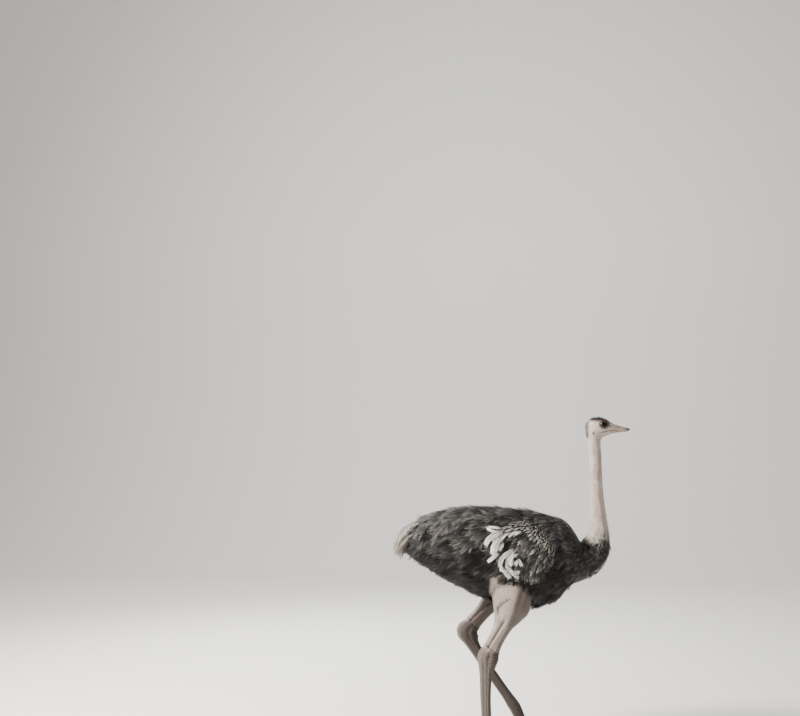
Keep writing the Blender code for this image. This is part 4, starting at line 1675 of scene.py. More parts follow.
@dataclass
class Scatter:
    """A tree of Geometry Nodes that plants feathers over a surface, along its lie, as one mesh."""

    name: str
    shapes: Sequence[Object]
    material: Material
    spacing: float
    seed: int
    tilt_spread: float = 4.0
    yaw_spread: float = 14.0

    def tree(self) -> NodeTree:
        """Builds the tree.

        Returns:
            The tree, whose inputs are the surface, the feathers, their spacing, a seed and the material.
        """
        made = bpy.data.node_groups.new(self.name, "GeometryNodeTree")
        for label, kind in (
            ("Surface", "NodeSocketGeometry"),
            ("Feathers", "NodeSocketCollection"),
            ("Spacing", "NodeSocketFloat"),
            ("Seed", "NodeSocketInt"),
            ("Material", "NodeSocketMaterial"),
        ):
            made.interface.new_socket(label, in_out="INPUT", socket_type=kind)
        made.interface.new_socket("Coat", in_out="OUTPUT", socket_type="NodeSocketGeometry")
        given = add_node(made, "NodeGroupInput").outputs

        def named(name: str, kind: str) -> NodeSocket:
            """The output that reads an attribute."""
            return add_node(made, "GeometryNodeInputNamedAttribute", {"Name": name}, data_type=kind).outputs[0]

        def uniform(low: float, high: float, offset: int) -> NodeSocket:
            """A random number for each feather, from a seed of its own.

            Args:
                low: The least it can be.
                high: The most.
                offset: What is added to the tree's seed.

            Returns:
                The output that gives it.
            """
            value = add_node(made, "FunctionNodeRandomValue", data_type="FLOAT")
            feed(made, value, {2: low, 3: high, "Seed": maths(made, "ADD", given["Seed"], float(offset))})
            return value.outputs[1]

        def stored(geometry: object, name: str, value: object, kind: str, domain: str) -> NodeSocket:
            """The geometry with an attribute stored on it.

            Args:
                geometry: The output that gives the geometry.
                name: The attribute's name.
                value: The output that gives its values.
                kind: Its data type.
                domain: Which elements it is on.

            Returns:
                The output that gives the new geometry.
            """
            given_values = {"Geometry": geometry, "Name": name, "Value": value}
            node = "GeometryNodeStoreNamedAttribute"
            return add_node(made, node, given_values, data_type=kind, domain=domain).outputs[0]

        spots = {"Mesh": given["Surface"], "Distance Min": given["Spacing"], "Density Max": 60000.0}
        spots |= {"Seed": given["Seed"], "Density Factor": named("thickness", "FLOAT")}
        points = add_node(made, "GeometryNodeDistributePointsOnFaces", spots, distribute_method="POISSON")
        axes = {0: named("lie", "FLOAT_VECTOR"), 1: named("outward", "FLOAT_VECTOR")}
        base = add_node(made, "FunctionNodeAxesToRotation", axes, primary_axis="X", secondary_axis="Z")
        tilt, yaw = math.radians(self.tilt_spread), math.radians(self.yaw_spread)
        lifted = maths(made, "SUBTRACT", uniform(-tilt, tilt, 1), named("lift", "FLOAT"))
        turns = {0: uniform(-0.35, 0.35, 2), 1: lifted, 2: uniform(-yaw, yaw, 3)}
        turn = add_node(made, "ShaderNodeCombineXYZ", turns).outputs[0]
        turn = add_node(made, "FunctionNodeEulerToRotation", {0: turn}).outputs[0]
        both = {0: base.outputs[0], 1: turn}
        turned = add_node(made, "FunctionNodeRotateRotation", both, rotation_space="LOCAL").outputs[0]
        size = maths(made, "MULTIPLY", named("size", "FLOAT"), uniform(0.78, 1.22, 4))
        feathers = add_node(made, "GeometryNodeCollectionInfo", {"Collection": given["Feathers"], 1: True, 2: True})
        pick = add_node(made, "FunctionNodeRandomValue", data_type="INT")
        feed(made, pick, {4: 0, 5: len(self.shapes) - 1, "Seed": given["Seed"]})
        placing = {"Points": points.outputs["Points"], "Instance": feathers.outputs[0], "Pick Instance": True}
        placing |= {"Instance Index": pick.outputs[2], "Rotation": turned, "Scale": size}
        coat = add_node(made, "GeometryNodeInstanceOnPoints", placing).outputs[0]
        coat = stored(coat, "own_tone", uniform(-0.3, 0.3, 5), "FLOAT", "INSTANCE")
        coat = add_node(made, "GeometryNodeRealizeInstances", {0: coat}).outputs[0]
        tone = maths(made, "ADD", named("tone", "FLOAT"), named("own_tone", "FLOAT"))
        coat = stored(coat, "tone", maths(made, "ADD", tone, named("shade", "FLOAT")), "FLOAT", "POINT")
        local = {0: named("patch", "FLOAT_VECTOR"), 1: (0.5, 0.5, 0.0)}
        local = add_node(made, "ShaderNodeVectorMath", local, operation="SUBTRACT").outputs[0]
        small = {0: local, "Scale": PATCH}
        small = add_node(made, "ShaderNodeVectorMath", small, operation="SCALE").outputs[0]
        place = {0: named("root_place", "FLOAT_VECTOR"), 1: small}
        place = add_node(made, "ShaderNodeVectorMath", place, operation="ADD").outputs[0]
        coat = stored(coat, "OFBake", place, "FLOAT2", "CORNER")
        coat = add_node(made, "GeometryNodeSetMaterial", {"Geometry": coat, "Material": given["Material"]}).outputs[0]
        add_node(made, "NodeGroupOutput", {0: coat})
        return made

    def plant(self, surface: Object) -> Object:
        """Plants the feathers.

        Args:
            surface: What they grow from, with a bed's attributes stored on it. It is removed.

        Returns:
            The coat as a plain mesh.
        """
        group = bpy.data.collections.new(f"{self.name}_shapes")
        for shape in self.shapes:
            group.objects.link(shape)
        tree = self.tree()
        modifier = surface.modifiers.new("scatter", "NODES")
        modifier.node_group = tree
        sockets = {item.name: item.identifier for item in tree.interface.items_tree if item.in_out == "INPUT"}
        for label, value in (
            ("Feathers", group),
            ("Spacing", self.spacing),
            ("Seed", self.seed),
            ("Material", self.material),
        ):
            modifier[sockets[label]] = value
        mesh = applied(surface, modifier)
        discard([surface])
        bpy.data.collections.remove(group)
        for attribute in [a.name for a in mesh.attributes if a.name in SCATTER_INPUTS]:
            mesh.attributes.remove(mesh.attributes[attribute])
        made = bpy.data.objects.new(self.name, mesh)
        bpy.context.scene.collection.objects.link(made)
        return made


SCATTER_INPUTS = ("lie", "lift", "size", "thickness", "shade", "root_place", "outward", "own_tone", "patch")


@dataclass
class Bed:
    """A surface that feathers grow from, as a grid of points with what each feather there is like."""

    grid: Array
    normals: Array
    lie: Array
    lift: Array
    size: Array
    thickness: Array
    shade: Array

    def surface(self, name: str, kept: Array | None = None) -> Object:
        """Some of the grid's faces as a mesh.

        Args:
            name: Its name.
            kept: For each face, row by row, whether it is in, or None for all.

        Returns:
            The object. Its root_place is the kept stretch of the grid, unrolled to fill the map.
        """
        rows, columns = self.grid.shape[:2]
        if kept is None:
            kept = np.ones((rows - 1, columns - 1), bool)
        faces = np.array(grid_faces(rows, columns, wrap=False)).reshape(rows - 1, columns - 1, 4)
        made = make_object(name, self.grid.reshape(-1, 3), faces[kept].tolist())
        store(made.data, "lie", unit(self.lie).reshape(-1, 3), "FLOAT_VECTOR")
        store(made.data, "outward", unit(self.normals).reshape(-1, 3), "FLOAT_VECTOR")
        for label, values in (
            ("lift", self.lift),
            ("size", self.size),
            ("thickness", self.thickness),
            ("shade", self.shade),
        ):
            store(made.data, label, np.broadcast_to(values, self.grid.shape[:2]))
        used = np.argwhere(kept)
        low, high = used.min(0), used.max(0) + 1
        row, column = np.meshgrid(np.arange(rows), np.arange(columns), indexing="ij")
        u = 0.02 + 0.96 * (column - low[1]) / (high[1] - low[1])
        v = 0.02 + 0.96 * (row - low[0]) / (high[0] - low[0])
        store(made.data, "root_place", np.stack([u, v, 0 * u], -1).reshape(-1, 3), "FLOAT_VECTOR")
        with edited(made.data) as shape:
            bmesh.ops.delete(shape, geom=[v for v in shape.verts if not v.link_faces], context="VERTS")
        return made


def surface_normals(grid: Array, middle: Array) -> Array:
    """Unit normals of a grid of points, pointing away from a point inside, given for each row or for all."""
    made = unit(np.cross(np.gradient(grid, axis=1), np.gradient(grid, axis=0)))
    return made * np.where((made * (grid - middle)).sum(-1, keepdims=True) < 0, -1.0, 1.0)


def turned_lie(lie: Array, normals: Array, angle: Array) -> Array:
    """The lie turned in the surface by an angle, in radians."""
    angle = angle[..., None]
    return lie * np.cos(angle) + np.cross(normals, lie) * np.sin(angle)


def flattened(vectors: Array, normals: Array) -> Array:
    """The vectors laid in the surface and at unit length."""
    return unit(vectors - (vectors * normals).sum(-1, keepdims=True) * normals)


@dataclass
class BlackCoat:
    """The cock's black body plumage, in zones that each hold one mesh."""

    root_depth: float = 0.023
    spacing: float = 0.0089
    length: float = 0.080
    lift: float = 15.0
    sides: int = 96
    ring_step: float = 0.012
    neck_base: Place = (0.600, 0.0, 1.235)

    def bed(self) -> Bed:
        """The whole trunk's bed.

        Returns:
            Rings from the breast to the rump, each closed at the bottom by a repeated point.
        """
        tube = trunk_tube(self.root_depth, self.ring_step, self.sides)
        grid = tube.unrolled()
        front = tube.centres[0] + (grid[0] - tube.centres[0]) * np.linspace(0.05, 0.9, 4)[:, None, None]
        back = tube.centres[-1] + (grid[-1] - tube.centres[-1]) * np.linspace(0.9, 0.05, 5)[:, None, None]
        grid = np.concatenate([front, grid, back])
        middle = np.clip(grid.mean(1, keepdims=True), (-0.36, 0, 0), (0.60, 0, 2))
        normals = surface_normals(grid, middle)
        x = grid[..., 0]
        radial = unit(grid - np.array(self.neck_base))
        flow = np.stack([-1 + 0 * x, 0 * x, -0.30 - 0.45 * smooth(-0.25, -0.45, x)], -1)
        near = smooth(0.34, 0.12, np.linalg.norm(grid - np.array(self.neck_base), axis=-1))[..., None]
        lie = flattened(radial * near + flow * (1 - near), normals)
        lie = turned_lie(lie, normals, 0.30 * ripple(grid, 0.10, 3) + 0.16 * ripple(grid, 0.045, 4))
        tuft = ripple(grid, 0.060, 5)
        over = np.clip(bare_thigh(grid, 0.055) - bare_thigh(grid), 0, 1)
        below = smooth(-0.2, -0.7, normals[..., 2])
        size = self.length * (1 - 0.55 * near[..., 0]) * (1 + 0.16 * tuft) * (1 - 0.30 * smooth(-0.28, -0.42, x))
        size = size * (1 - 0.42 * over) * (1 - 0.22 * below) * (1 - 0.45 * smooth(0.61, 0.67, x))
        lift = np.radians(self.lift + 4 * ripple(grid, 0.050, 6) - 4 * near[..., 0] - 6 * over)
        # painted light: the upper side and the middle of the back lighter and the underside darker, as if lit from
        # above, and the breast near the neck's root lifted; tuft and ripple vary at random
        shade = 0.30 * tuft + 0.18 * ripple(grid, 0.14, 7) + 0.66 * smooth(-0.2, 0.8, normals[..., 2]) - 0.48
        shade = shade + 1.50 * near[..., 0] + 0.18 * smooth(-0.05, 0.3, normals[..., 2])
        shade = shade + 0.16 * smooth(0.26, 0.05, np.abs(x + 0.04)) * smooth(0.2, 0.6, normals[..., 2])
        return Bed(grid, normals, lie, lift, size, 1 - bare_thigh(grid), shade)

    def zones(self, bed: Bed) -> dict[str, Array]:
        """Which faces of the bed each zone holds.

        Args:
            bed: The bed.

        Returns:
            For each zone's name, whether each face is in it.
        """
        rows, columns = bed.grid.shape[0] - 1, bed.grid.shape[1] - 1
        x = bed.grid[:-1, 0, 0][:, None] + np.zeros((1, columns))
        turn = (np.arange(columns)[None] + 0.5) / columns + np.zeros((rows, 1))
        left = turn < 0.5
        cuts = (0.42, 0.22, 0.03, -0.18)
        level = sum((x < cut).astype(int) for cut in cuts)
        made = {}
        for k, name in enumerate(("breast", "shoulder", "middle", "hip", "rump")):
            for side, mask in (("left", left), ("right", ~left)):
                made[f"{name}_coat_{side}"] = (level == k) & mask
        return made

    def build(self, finish: Plumage) -> None:
        """Plants every zone.

        Args:
            finish: The feathers' finish.
        """
        material = finish.material()
        shapes = [FeatherShape().build(f"body_feather_{k}", 10 + k) for k in range(6)]
        bed = self.bed()
        for seed, (name, kept) in enumerate(self.zones(bed).items()):
            made = Scatter(name, shapes, material, self.spacing, 100 + seed).plant(bed.surface(f"{name}_bed", kept))
            finish_piece(made, "black_plumage", material)
        discard(shapes)


@dataclass
class Collar:
    """The black feathers that climb the root of the neck to a ragged edge, highest in front."""

    head: HeadAndNeck
    back_edge: float = 1.236
    front_edge: float = 1.268
    spacing: float = 0.0066

    def build(self, finish: Plumage) -> None:
        """Plants them.

        Args:
            finish: The feathers' finish.
        """
        material = finish.material()
        shapes = [FeatherShape(locks=7, lock_width=0.050).build(f"collar_feather_{k}", 30 + k) for k in range(4)]
        tube = self.head.tube()
        low = tube.centres[:, 2] < self.front_edge + 0.05
        grid = tube.unrolled()[low][::3, ::3]
        normals = surface_normals(grid, grid[:, :-1].mean(1, keepdims=True))
        lie = flattened(np.repeat(tube.along[low][::3, None], grid.shape[1], 1), normals)
        x, z = grid[..., 0], grid[..., 2]
        edge = self.back_edge + (self.front_edge - self.back_edge) * smooth(0.600, 0.680, x)
        edge = edge + 0.009 * ripple(grid, 0.022, 8)
        inside = smooth(edge + 0.006, edge - 0.006, z) * smooth(1.150, 1.165, z)
        size = 0.024 + 0.030 * smooth(edge, edge - 0.07, z)
        lift = np.radians(9 + 4 * ripple(grid, 0.03, 9))
        # painted light: the collar's feathers are lifted towards their pale tips, as the breast's are
        bed = Bed(grid, normals, lie, lift, size, inside, 0.90 + 0.30 * ripple(grid, 0.03, 10))
        scatter = Scatter("collar_coat", shapes, material, self.spacing, 150, yaw_spread=20)
        finish_piece(scatter.plant(bed.surface("collar_bed")), "black_plumage", material)
        discard(shapes)


@dataclass
class WingCoverts:
    """The folded wing: rounded coverts in rows, small on its shoulder with tips lit pale as a painted highlight,
    longer down and back.
    """

    centre: tuple[float, float] = (0.222, 1.172)
    fore: float = 0.160
    aft: float = 0.150
    up: float = 0.158
    down: float = 0.132
    thickness: float = 0.044
    slant: float = 0.15
    spacing: float = 0.0105
    rings: int = 18
    spokes: int = 84
    plume_beds: Sequence[tuple] = (((0.062, 1.236), (0.062, 0.066)), ((0.124, 1.116), (0.052, 0.068)))

    def bed(self, side: Side) -> Bed:
        """The wing's bed on one side.

        Args:
            side: Which side.

        Returns:
            The bed.
        """
        share = np.sin(np.linspace(0.02, 1, self.rings) * np.pi / 2)[:, None]
        turn = np.linspace(0, 2 * np.pi, self.spokes + 1)[None]
        c, s = np.cos(turn), np.sin(turn)
        run = c * np.where(c > 0, self.fore, self.aft) * share
        x = self.centre[0] + run
        z = self.centre[1] + s * np.where(s > 0, self.up, self.down) * share - self.slant * run
        puff = (self.thickness - 0.016) * np.sqrt(np.clip(1 - share**2.4, 0, 1)) - 0.016 + 0 * turn
        y = side.value * (trunk_half_width(x, z) + puff)
        grid = np.stack([x, y, z], -1)
        normals = surface_normals(grid, np.array([0.2, 0.0, 1.15]))
        fan = 1.5 * (x - self.centre[0]) + 0.7 * (self.centre[1] - z)
        rearwards = -0.80 + 6.0 * np.maximum(self.centre[1] + 0.03 - z, 0)
        lie = flattened(np.stack([rearwards, 0 * x, -0.80 - fan], -1), normals)
        lie = turned_lie(lie, normals, 0.18 * ripple(grid, 0.06, 11))
        back = smooth(0.12, -0.12, (x - self.centre[0]) + 0.9 * (z - self.centre[1]))
        rim = smooth(0.66, 0.92, share) * smooth(-0.10, 0.40, np.cos(turn - 1.0))
        size = (0.048 + 0.030 * back) * (1 - 0.58 * rim) * (1 + 0.12 * ripple(grid, 0.05, 12))
        bead = rim * smooth(1.15, 1.23, z)
        lift = np.radians(14 + 6 * rim + 16 * bead + 5 * ripple(grid, 0.035, 13))
        thick = np.ones_like(x)
        for middle, reach in self.plume_beds:
            away = np.hypot((x - middle[0]) / reach[0], (z - middle[1]) / reach[1])
            thick = thick * (0.25 + 0.75 * smooth(0.8, 1.15, away))
        # painted highlight: the small coverts along the top edge get tips lit near white; painted shade: the lower
        # coverts are darker
        low = smooth(1.15, 1.05, z)
        shade = 1.9 * bead - 0.02 - 0.35 * low + (0.22 - 0.12 * low) * ripple(grid, 0.045, 14)
        return Bed(grid, normals, lie, lift, size, thick, shade)

    def build(self, finish: Plumage) -> None:
        """Plants both wings.

        Args:
            finish: The feathers' finish.
        """
        material = finish.material()
        shape = FeatherShape(
            locks=7, lock_length=0.30, lock_width=0.060, spread=40, droop=0.26, sweep=0.03, loose=0.5, vane=0.36
        )
        shapes = [shape.build(f"covert_{k}", 40 + k) for k in range(4)]
        for side in Side:
            surface = self.bed(side).surface(f"wing_bed_{side.word}")
            name, seed = f"wing_coverts_{side.word}", 200 + side.value
            scatter = Scatter(name, shapes, material, self.spacing, seed, tilt_spread=5.0, yaw_spread=12.0)
            finish_piece(scatter.plant(surface), "black_plumage", material, f"wing_{side.word}")
        discard(shapes)


@dataclass
class ThighFringe:
    """The short feathers that hang over the top of each thigh."""

    legs: Sequence[Leg]
    lowest: float = 0.90
    highest: float = 1.12
    spacing: float = 0.0080

    def build(self, finish: Plumage) -> None:
        """Plants both.

        Args:
            finish: The feathers' finish.
        """
        material = finish.material()
        shapes = [FeatherShape(droop=0.14).build(f"fringe_feather_{k}", 60 + k) for k in range(4)]
        for leg in self.legs:
            tube = leg.inner_tube()
            inside = (tube.centres[:, 2] > self.lowest - 0.08) & (tube.centres[:, 2] < self.highest)
            grid = np.concatenate([tube.ring_points, tube.ring_points[:, :1]], 1)[inside][::3]
            normals = surface_normals(grid, grid[:, :-1].mean(1, keepdims=True))
            lie = flattened(np.array([-0.30, 0.0, -1.0]) + 0 * grid, normals)
            lie = turned_lie(lie, normals, 0.25 * ripple(grid, 0.05, 15))
            size = 0.048 * (1 + 0.25 * ripple(grid, 0.04, 17))
            low = np.interp(grid[..., 0], *np.array(TRUNK_LINES)[::-1, [0, 2]].T)
            thick = 1 - bare_thigh(grid * [1, 0, 1] + [0, leg.side.value, 0])
            thick = thick * smooth(low + 0.040, low + 0.055, grid[..., 2])
            even = 0 * grid[..., 0]
            bed = Bed(grid, normals, lie, np.radians(13) + even, size, thick, even - 0.1)
            surface = bed.surface(f"fringe_bed_{leg.side.word}")
            made = Scatter(f"thigh_fringe_{leg.side.word}", shapes, material, self.spacing, 230 + leg.side.value)
            finish_piece(made.plant(surface), "black_plumage", material)
        discard(shapes)


@dataclass(frozen=True)
class Plume:
    """One long white plume: a shaft along a curve, with soft barbs that sweep along it on both sides."""

    path: Array
    face: Array
    barb: float
    barbs: int = 54
    curl: float = 0.4
    weight: float = 0.12
    angle: float = 27.0
    tone: float = 0.5
    spread: float = 1.7

    def grow(self, blades: Blades, rng: np.random.Generator, unroll: Callable[[Array], Array]) -> list:
        """Adds the plume to a set of blades.

        Args:
            blades: The set.
            rng: What its unevenness comes from.
            unroll: Gives each point's place on the map.

        Returns:
            The places on the map of what was added, in order.
        """
        rows = np.concatenate([self.path, self.face], 1)
        last = len(rows) - 1
        steps = np.linspace(0, last, 15)
        spine = through(rows, steps)[:, :3]
        ways = np.diff(spine, axis=0)
        lengths = np.linalg.norm(ways, axis=1)
        whole = float(lengths.sum())
        faces = unit(through(rows, steps[:-1])[:, 3:])
        across = unit(np.cross(faces, ways))
        taper = np.linspace(2.2, 0.9, len(ways)) * MM
        n = len(ways)
        share = np.linspace(0, 1, n)
        centre = np.tile([0.5, 0.5], (n, 1))
        tone = np.full(n, self.tone)
        blades.add(spine[:-1], unit(ways), 0 * ways, across, lengths * 1.5, taper, (share, share), centre, tone, 1)
        places = [np.repeat(unroll(spine[:-1]), 5, 0)]
        for hand in (-1, 1):
            s = np.linspace(0.04, 0.98, self.barbs) + rng.uniform(-0.008, 0.008, self.barbs)
            s = np.clip(s, 0, 1)
            at = through(rows, s * last)
            tangent = self.tangents(rows, s)
            normal = unit(at[:, 3:])
            beside = unit(np.cross(normal, tangent))
            lean = np.radians(np.maximum(self.angle * (1 - 0.60 * s) + rng.uniform(-9, 9, self.barbs), 5))
            turn = lean[:, None]
            rise = rng.uniform(0.0, 0.26, self.barbs)[:, None]
            way = tangent * np.cos(turn) + hand * beside * np.sin(turn) + normal * rise
            fullness = 0.22 + 0.85 * np.sin(np.pi * np.clip(0.14 + 0.84 * s, 0, 1))
            reach = self.spread * (1 - 0.8 * smooth(0.45, 1.0, s)) * self.barb * fullness
            length = np.minimum(reach / np.sin(lean), (1.03 - s) * whole + 0.15 * self.barb)
            length = length * rng.uniform(0.8, 1.15, self.barbs)
            curl = self.curl * rng.uniform(0.3, 1.6, self.barbs)[:, None]
            turning = self.tangents(rows, np.clip(s + 0.8 * length / whole, 0, 1)) - tangent
            bend = turning * 0.6 - hand * beside * curl * 0.3 - normal * curl * 0.35 + GRAVITY * self.weight
            roll = rng.uniform(-0.6, 0.6, self.barbs)[:, None]
            flat = unit(np.cross(way, normal)) * np.cos(roll) + normal * np.sin(roll)
            width = 1.9 * MM * rng.uniform(0.6, 1.3, self.barbs)
            patch = np.stack([0.5 + 0.3 * hand + 0 * s, s], -1)
            tone = self.tone + rng.uniform(-0.4, 0.3, self.barbs)
            base = np.full(self.barbs, 0.30)
            blades.add(at[:, :3], way, bend, flat, length, width, (base, base + 0.70), patch, tone, 2)
            places.append(np.repeat(unroll(at[:, :3]), 7, 0))
        return places

    @staticmethod
    def tangents(rows: Array, share: Array) -> Array:
        """The directions of a curve given by rows of points, at shares of its length.

        Args:
            rows: The curve's points.
            share: Shares of its length.

        Returns:
            One direction for each share.
        """
        last = len(rows) - 1
        ahead, behind = (through(rows, np.clip(share * last + step, 0, last))[:, :3] for step in (0.05, -0.05))
        return unit(ahead - behind)


def bake_map(made: Object, places: Array) -> None:
    """Stores a coat piece's map, on which each tuft is a small patch at its root's place.

    Args:
        made: The piece, whose points hold their place in their tuft's patch.
        places: Each point's root's place on the map.
    """
    mesh = made.data
    patch = np.empty(len(mesh.vertices) * 3, np.float32)
    mesh.attributes["patch"].data.foreach_get("vector", patch)
    place = np.clip(places, 0.02, 0.98) + PATCH * (patch.reshape(-1, 3)[:, :2] - 0.5)
    corner = np.empty(len(mesh.loops), np.int32)
    mesh.loops.foreach_get("vertex_index", corner)
    store(mesh, "OFBake", place[corner], "FLOAT2", "CORNER")
    mesh.attributes.remove(mesh.attributes["patch"])


def plume_piece(name: str, plumes: Sequence[Plume], seed: int, unroll: Callable) -> Object:
    """Grows plumes into one object with its map.

    Args:
        name: The object's name.
        plumes: The plumes.
        seed: What their unevenness comes from.
        unroll: Gives each point's place on the map.

    Returns:
        The object.
    """
    rng = np.random.default_rng(seed)
    blades = Blades()
    places = []
    for plume in plumes:
        places += plume.grow(blades, rng, unroll)
    made = blades.mesh(name)
    bake_map(made, np.concatenate(places))
    return made


@dataclass
class WingPlumes:
    """The white plumes of the wing's hand and arm, which curl out in two bunches behind the coverts.

    Each stroke is a curve seen from the side, in millimetres from its bunch's root: root, pull and tip as (x, z),
    with how far its barbs reach to each side.
    """

    upper_root: tuple[float, float] = (0.101, 1.285)
    lower_root: tuple[float, float] = (0.160, 1.194)
    upper: Rows = (
        (-8, 14, -45, 22, -76, 24, 4),
        (-8, 0, -60, -6, -96, 20, 4),
        (-30, 2, -74, -20, -98, -62, 10),
        (20, -8, 0, -30, -18, -44, 4),
        (0, -8, -42, -4, -60, -46, 6),
        (4, -12, -56, -46, -60, -114, 11),
        (0, -16, -40, -50, -52, -106, 10),
        (0, -56, -8, -72, -26, -92, 7),
        (-30, -112, -52, -126, -84, -158, 6),
        (68, 4, 48, -6, 28, -26, 3),
        (96, -2, 80, 0, 54, -26, 4),
    )
    lower: Rows = (
        (0, 0, -76, -26, -78, -86, 8),
        (-74, -74, -74, -96, -70, -118, 6),
        (12, -8, -46, -30, -46, -88, 6),
        (20, -26, -32, -30, -26, -90, 8),
        (-6, -52, -12, -60, -22, -80, 7),
        (-64, -92, -56, -128, -26, -152, 7),
        (-32, -106, -10, -138, 24, -120, 7),
        (-24, -126, 0, -140, 14, -152, 5),
        (18, -52, 8, -62, 4, -86, 6),
        (18, -52, 30, -64, 34, -90, 6),
        (-48, -82, -42, -108, -16, -122, 8),
    )
    copies: int = 3
    proud: float = 0.040

    def plumes(self, side: Side, root: tuple, strokes: Sequence, rng: np.random.Generator) -> list[Plume]:
        """The plumes of a bunch: each stroke and a few looser copies of it, one behind another.

        Args:
            side: Which side.
            root: The bunch's root.
            strokes: The bunch's strokes.
            rng: What their unevenness comes from.

        Returns:
            The plumes.
        """
        made = []
        t = np.linspace(0, 1, 7)[:, None]
        for k, (*curve, barb) in enumerate(strokes):
            for copy in range(self.copies):
                a, b, c = np.array(root) + MM * (np.array(curve).reshape(3, 2) + rng.normal(0, 2.2 * copy, (3, 2)))
                flat = (1 - t) ** 2 * a + 2 * t * (1 - t) * b + t**2 * c
                depth = self.proud * (0.55 + 0.45 * np.sin(np.pi * t[:, 0] ** 0.7)) - 0.006 * copy
                depth = depth + 0.005 * math.sin(2.4 * k)
                reach = trunk_half_width(flat[:, 0], flat[:, 1]) + depth
                path = np.stack([flat[:, 0], side.value * reach, flat[:, 1]], 1)
                face = np.tile([0.0, side.value, 0.15], (7, 1)) + rng.normal(0, 0.25, (1, 3))
                # painted shade: each copy further behind is darker
                made.append(Plume(path, face, MM * barb, barbs=60, tone=1.0 - 0.30 * copy, spread=1.75))
        return made

    def build(self, finish: Plumage) -> None:
        """Makes both bunches on both sides.

        Args:
            finish: The plumes' finish.
        """
        material = finish.material()
        bunches = (("upper", self.upper_root, self.upper), ("lower", self.lower_root, self.lower))
        for label, root, strokes in bunches:
            points = np.array(root) + MM * np.array(strokes)[:, :6].reshape(-1, 2)
            low, high = points.min(0) - 0.02, points.max(0) + 0.02

            def unroll(at: Array, low: Array = low, high: Array = high) -> Array:
                """Along the bird, and up it, within the bunch."""
                return 0.04 + 0.92 * (at[:, [0, 2]] - low) / (high - low)

            for side in Side:
                plumes = self.plumes(side, root, strokes, np.random.default_rng(7))
                name = f"{label}_plumes_{side.word}"
                made = plume_piece(f"{name}_white", plumes, 300, unroll)
                finish_piece(made, "white_plumage", material, name)


@dataclass
class Tail:
    """The drooping white tail: plumes in columns from side to side, and in layers from outside in."""

    line: Rows = (  # centre x and z, half width, outer and inner half thickness
        (-0.330, 1.278, 0.070, 0.055, 0.055),
        (-0.385, 1.276, 0.108, 0.054, 0.052),
        (-0.440, 1.243, 0.130, 0.054, 0.050),
        (-0.480, 1.196, 0.134, 0.050, 0.044),
        (-0.497, 1.152, 0.120, 0.038, 0.036),
        (-0.497, 1.118, 0.088, 0.024, 0.026),
        (-0.490, 1.094, 0.045, 0.010, 0.010),
    )
    columns: int = 7
    layers: int = 4
    barb: float = 0.010

    def build(self, finish: Plumage) -> None:
        """Makes it.

        Args:
            finish: The plumes' finish.
        """
        rng = np.random.default_rng(11)
        rows = np.array(self.line)
        plumes = []
        for layer in range(self.layers):
            for column in range(self.columns):
                v = 2 * (column + 0.5 * (layer % 2)) / self.columns - 1 + 1 / self.columns
                v = float(np.clip(v + rng.uniform(-0.06, 0.06), -1, 1))
                w = 1 - 2 * layer / (self.layers - 1)
                end = 5.3 - rng.uniform(0.0, 1.5) - 0.5 * abs(v)
                stations = np.linspace(0.2, end, 9)
                x, z, wide, outer, inner = through(rows, stations).T
                tangent = unit(np.gradient(np.stack([x, 0 * x, z], 1), axis=0))
                normal = np.stack([tangent[:, 2], 0 * x, -tangent[:, 0]], 1)
                deep = (0.80 * (outer if w > 0 else inner) * w * math.sqrt(1 - 0.6 * v * v))[:, None]
                path = np.stack([x, 0.92 * v * wide, z], 1) + normal * deep
                face = normal * (1 if w > -0.4 else -1) + np.array([0.0, 0.9 * v, 0.0]) + rng.normal(0, 0.25, (1, 3))
                # painted shade: the inner layers are darker, on top of a random tone
                tone = 0.36 - 0.36 * layer + rng.uniform(-0.55, 0.25)
                barb = self.barb * rng.uniform(0.8, 1.3)
                looks = {"barbs": 70, "curl": 0.6, "weight": 0.25, "angle": 24, "spread": 1.4}
                plumes.append(Plume(path, face, barb, tone=tone, **looks))

        def unroll(at: Array) -> Array:
            """Across the tail, and down it."""
            return np.stack([0.5 + at[:, 1] / 0.32, np.clip((1.36 - at[:, 2]) / 0.32, 0, 1)], -1)

        made = plume_piece("tail_plumes", plumes, 320, unroll)
        finish_piece(made, "white_plumage", finish.material(), "tail")


@dataclass(frozen=True)
class Down(Plumage):
    """Sparse hair-like down: pale on the neck and black on the crown."""

    dark: str = "17120F"

    def dress(self, tree: NodeTree, shader: Node) -> None:
        """Builds the nodes.

        Args:
            tree: The material's tree.
            shader: Its shader.
        """
        colour = self.mixed(tree, self.attribute(tree, "along"), linear(self.root), linear(self.middle))
        colour = self.mixed(tree, ranged(tree, self.attribute(tree, "tone"), -0.3, 0.3), linear(self.dark), colour)
        feed(tree, shader, {"Base Color": colour, "Roughness": self.roughness})


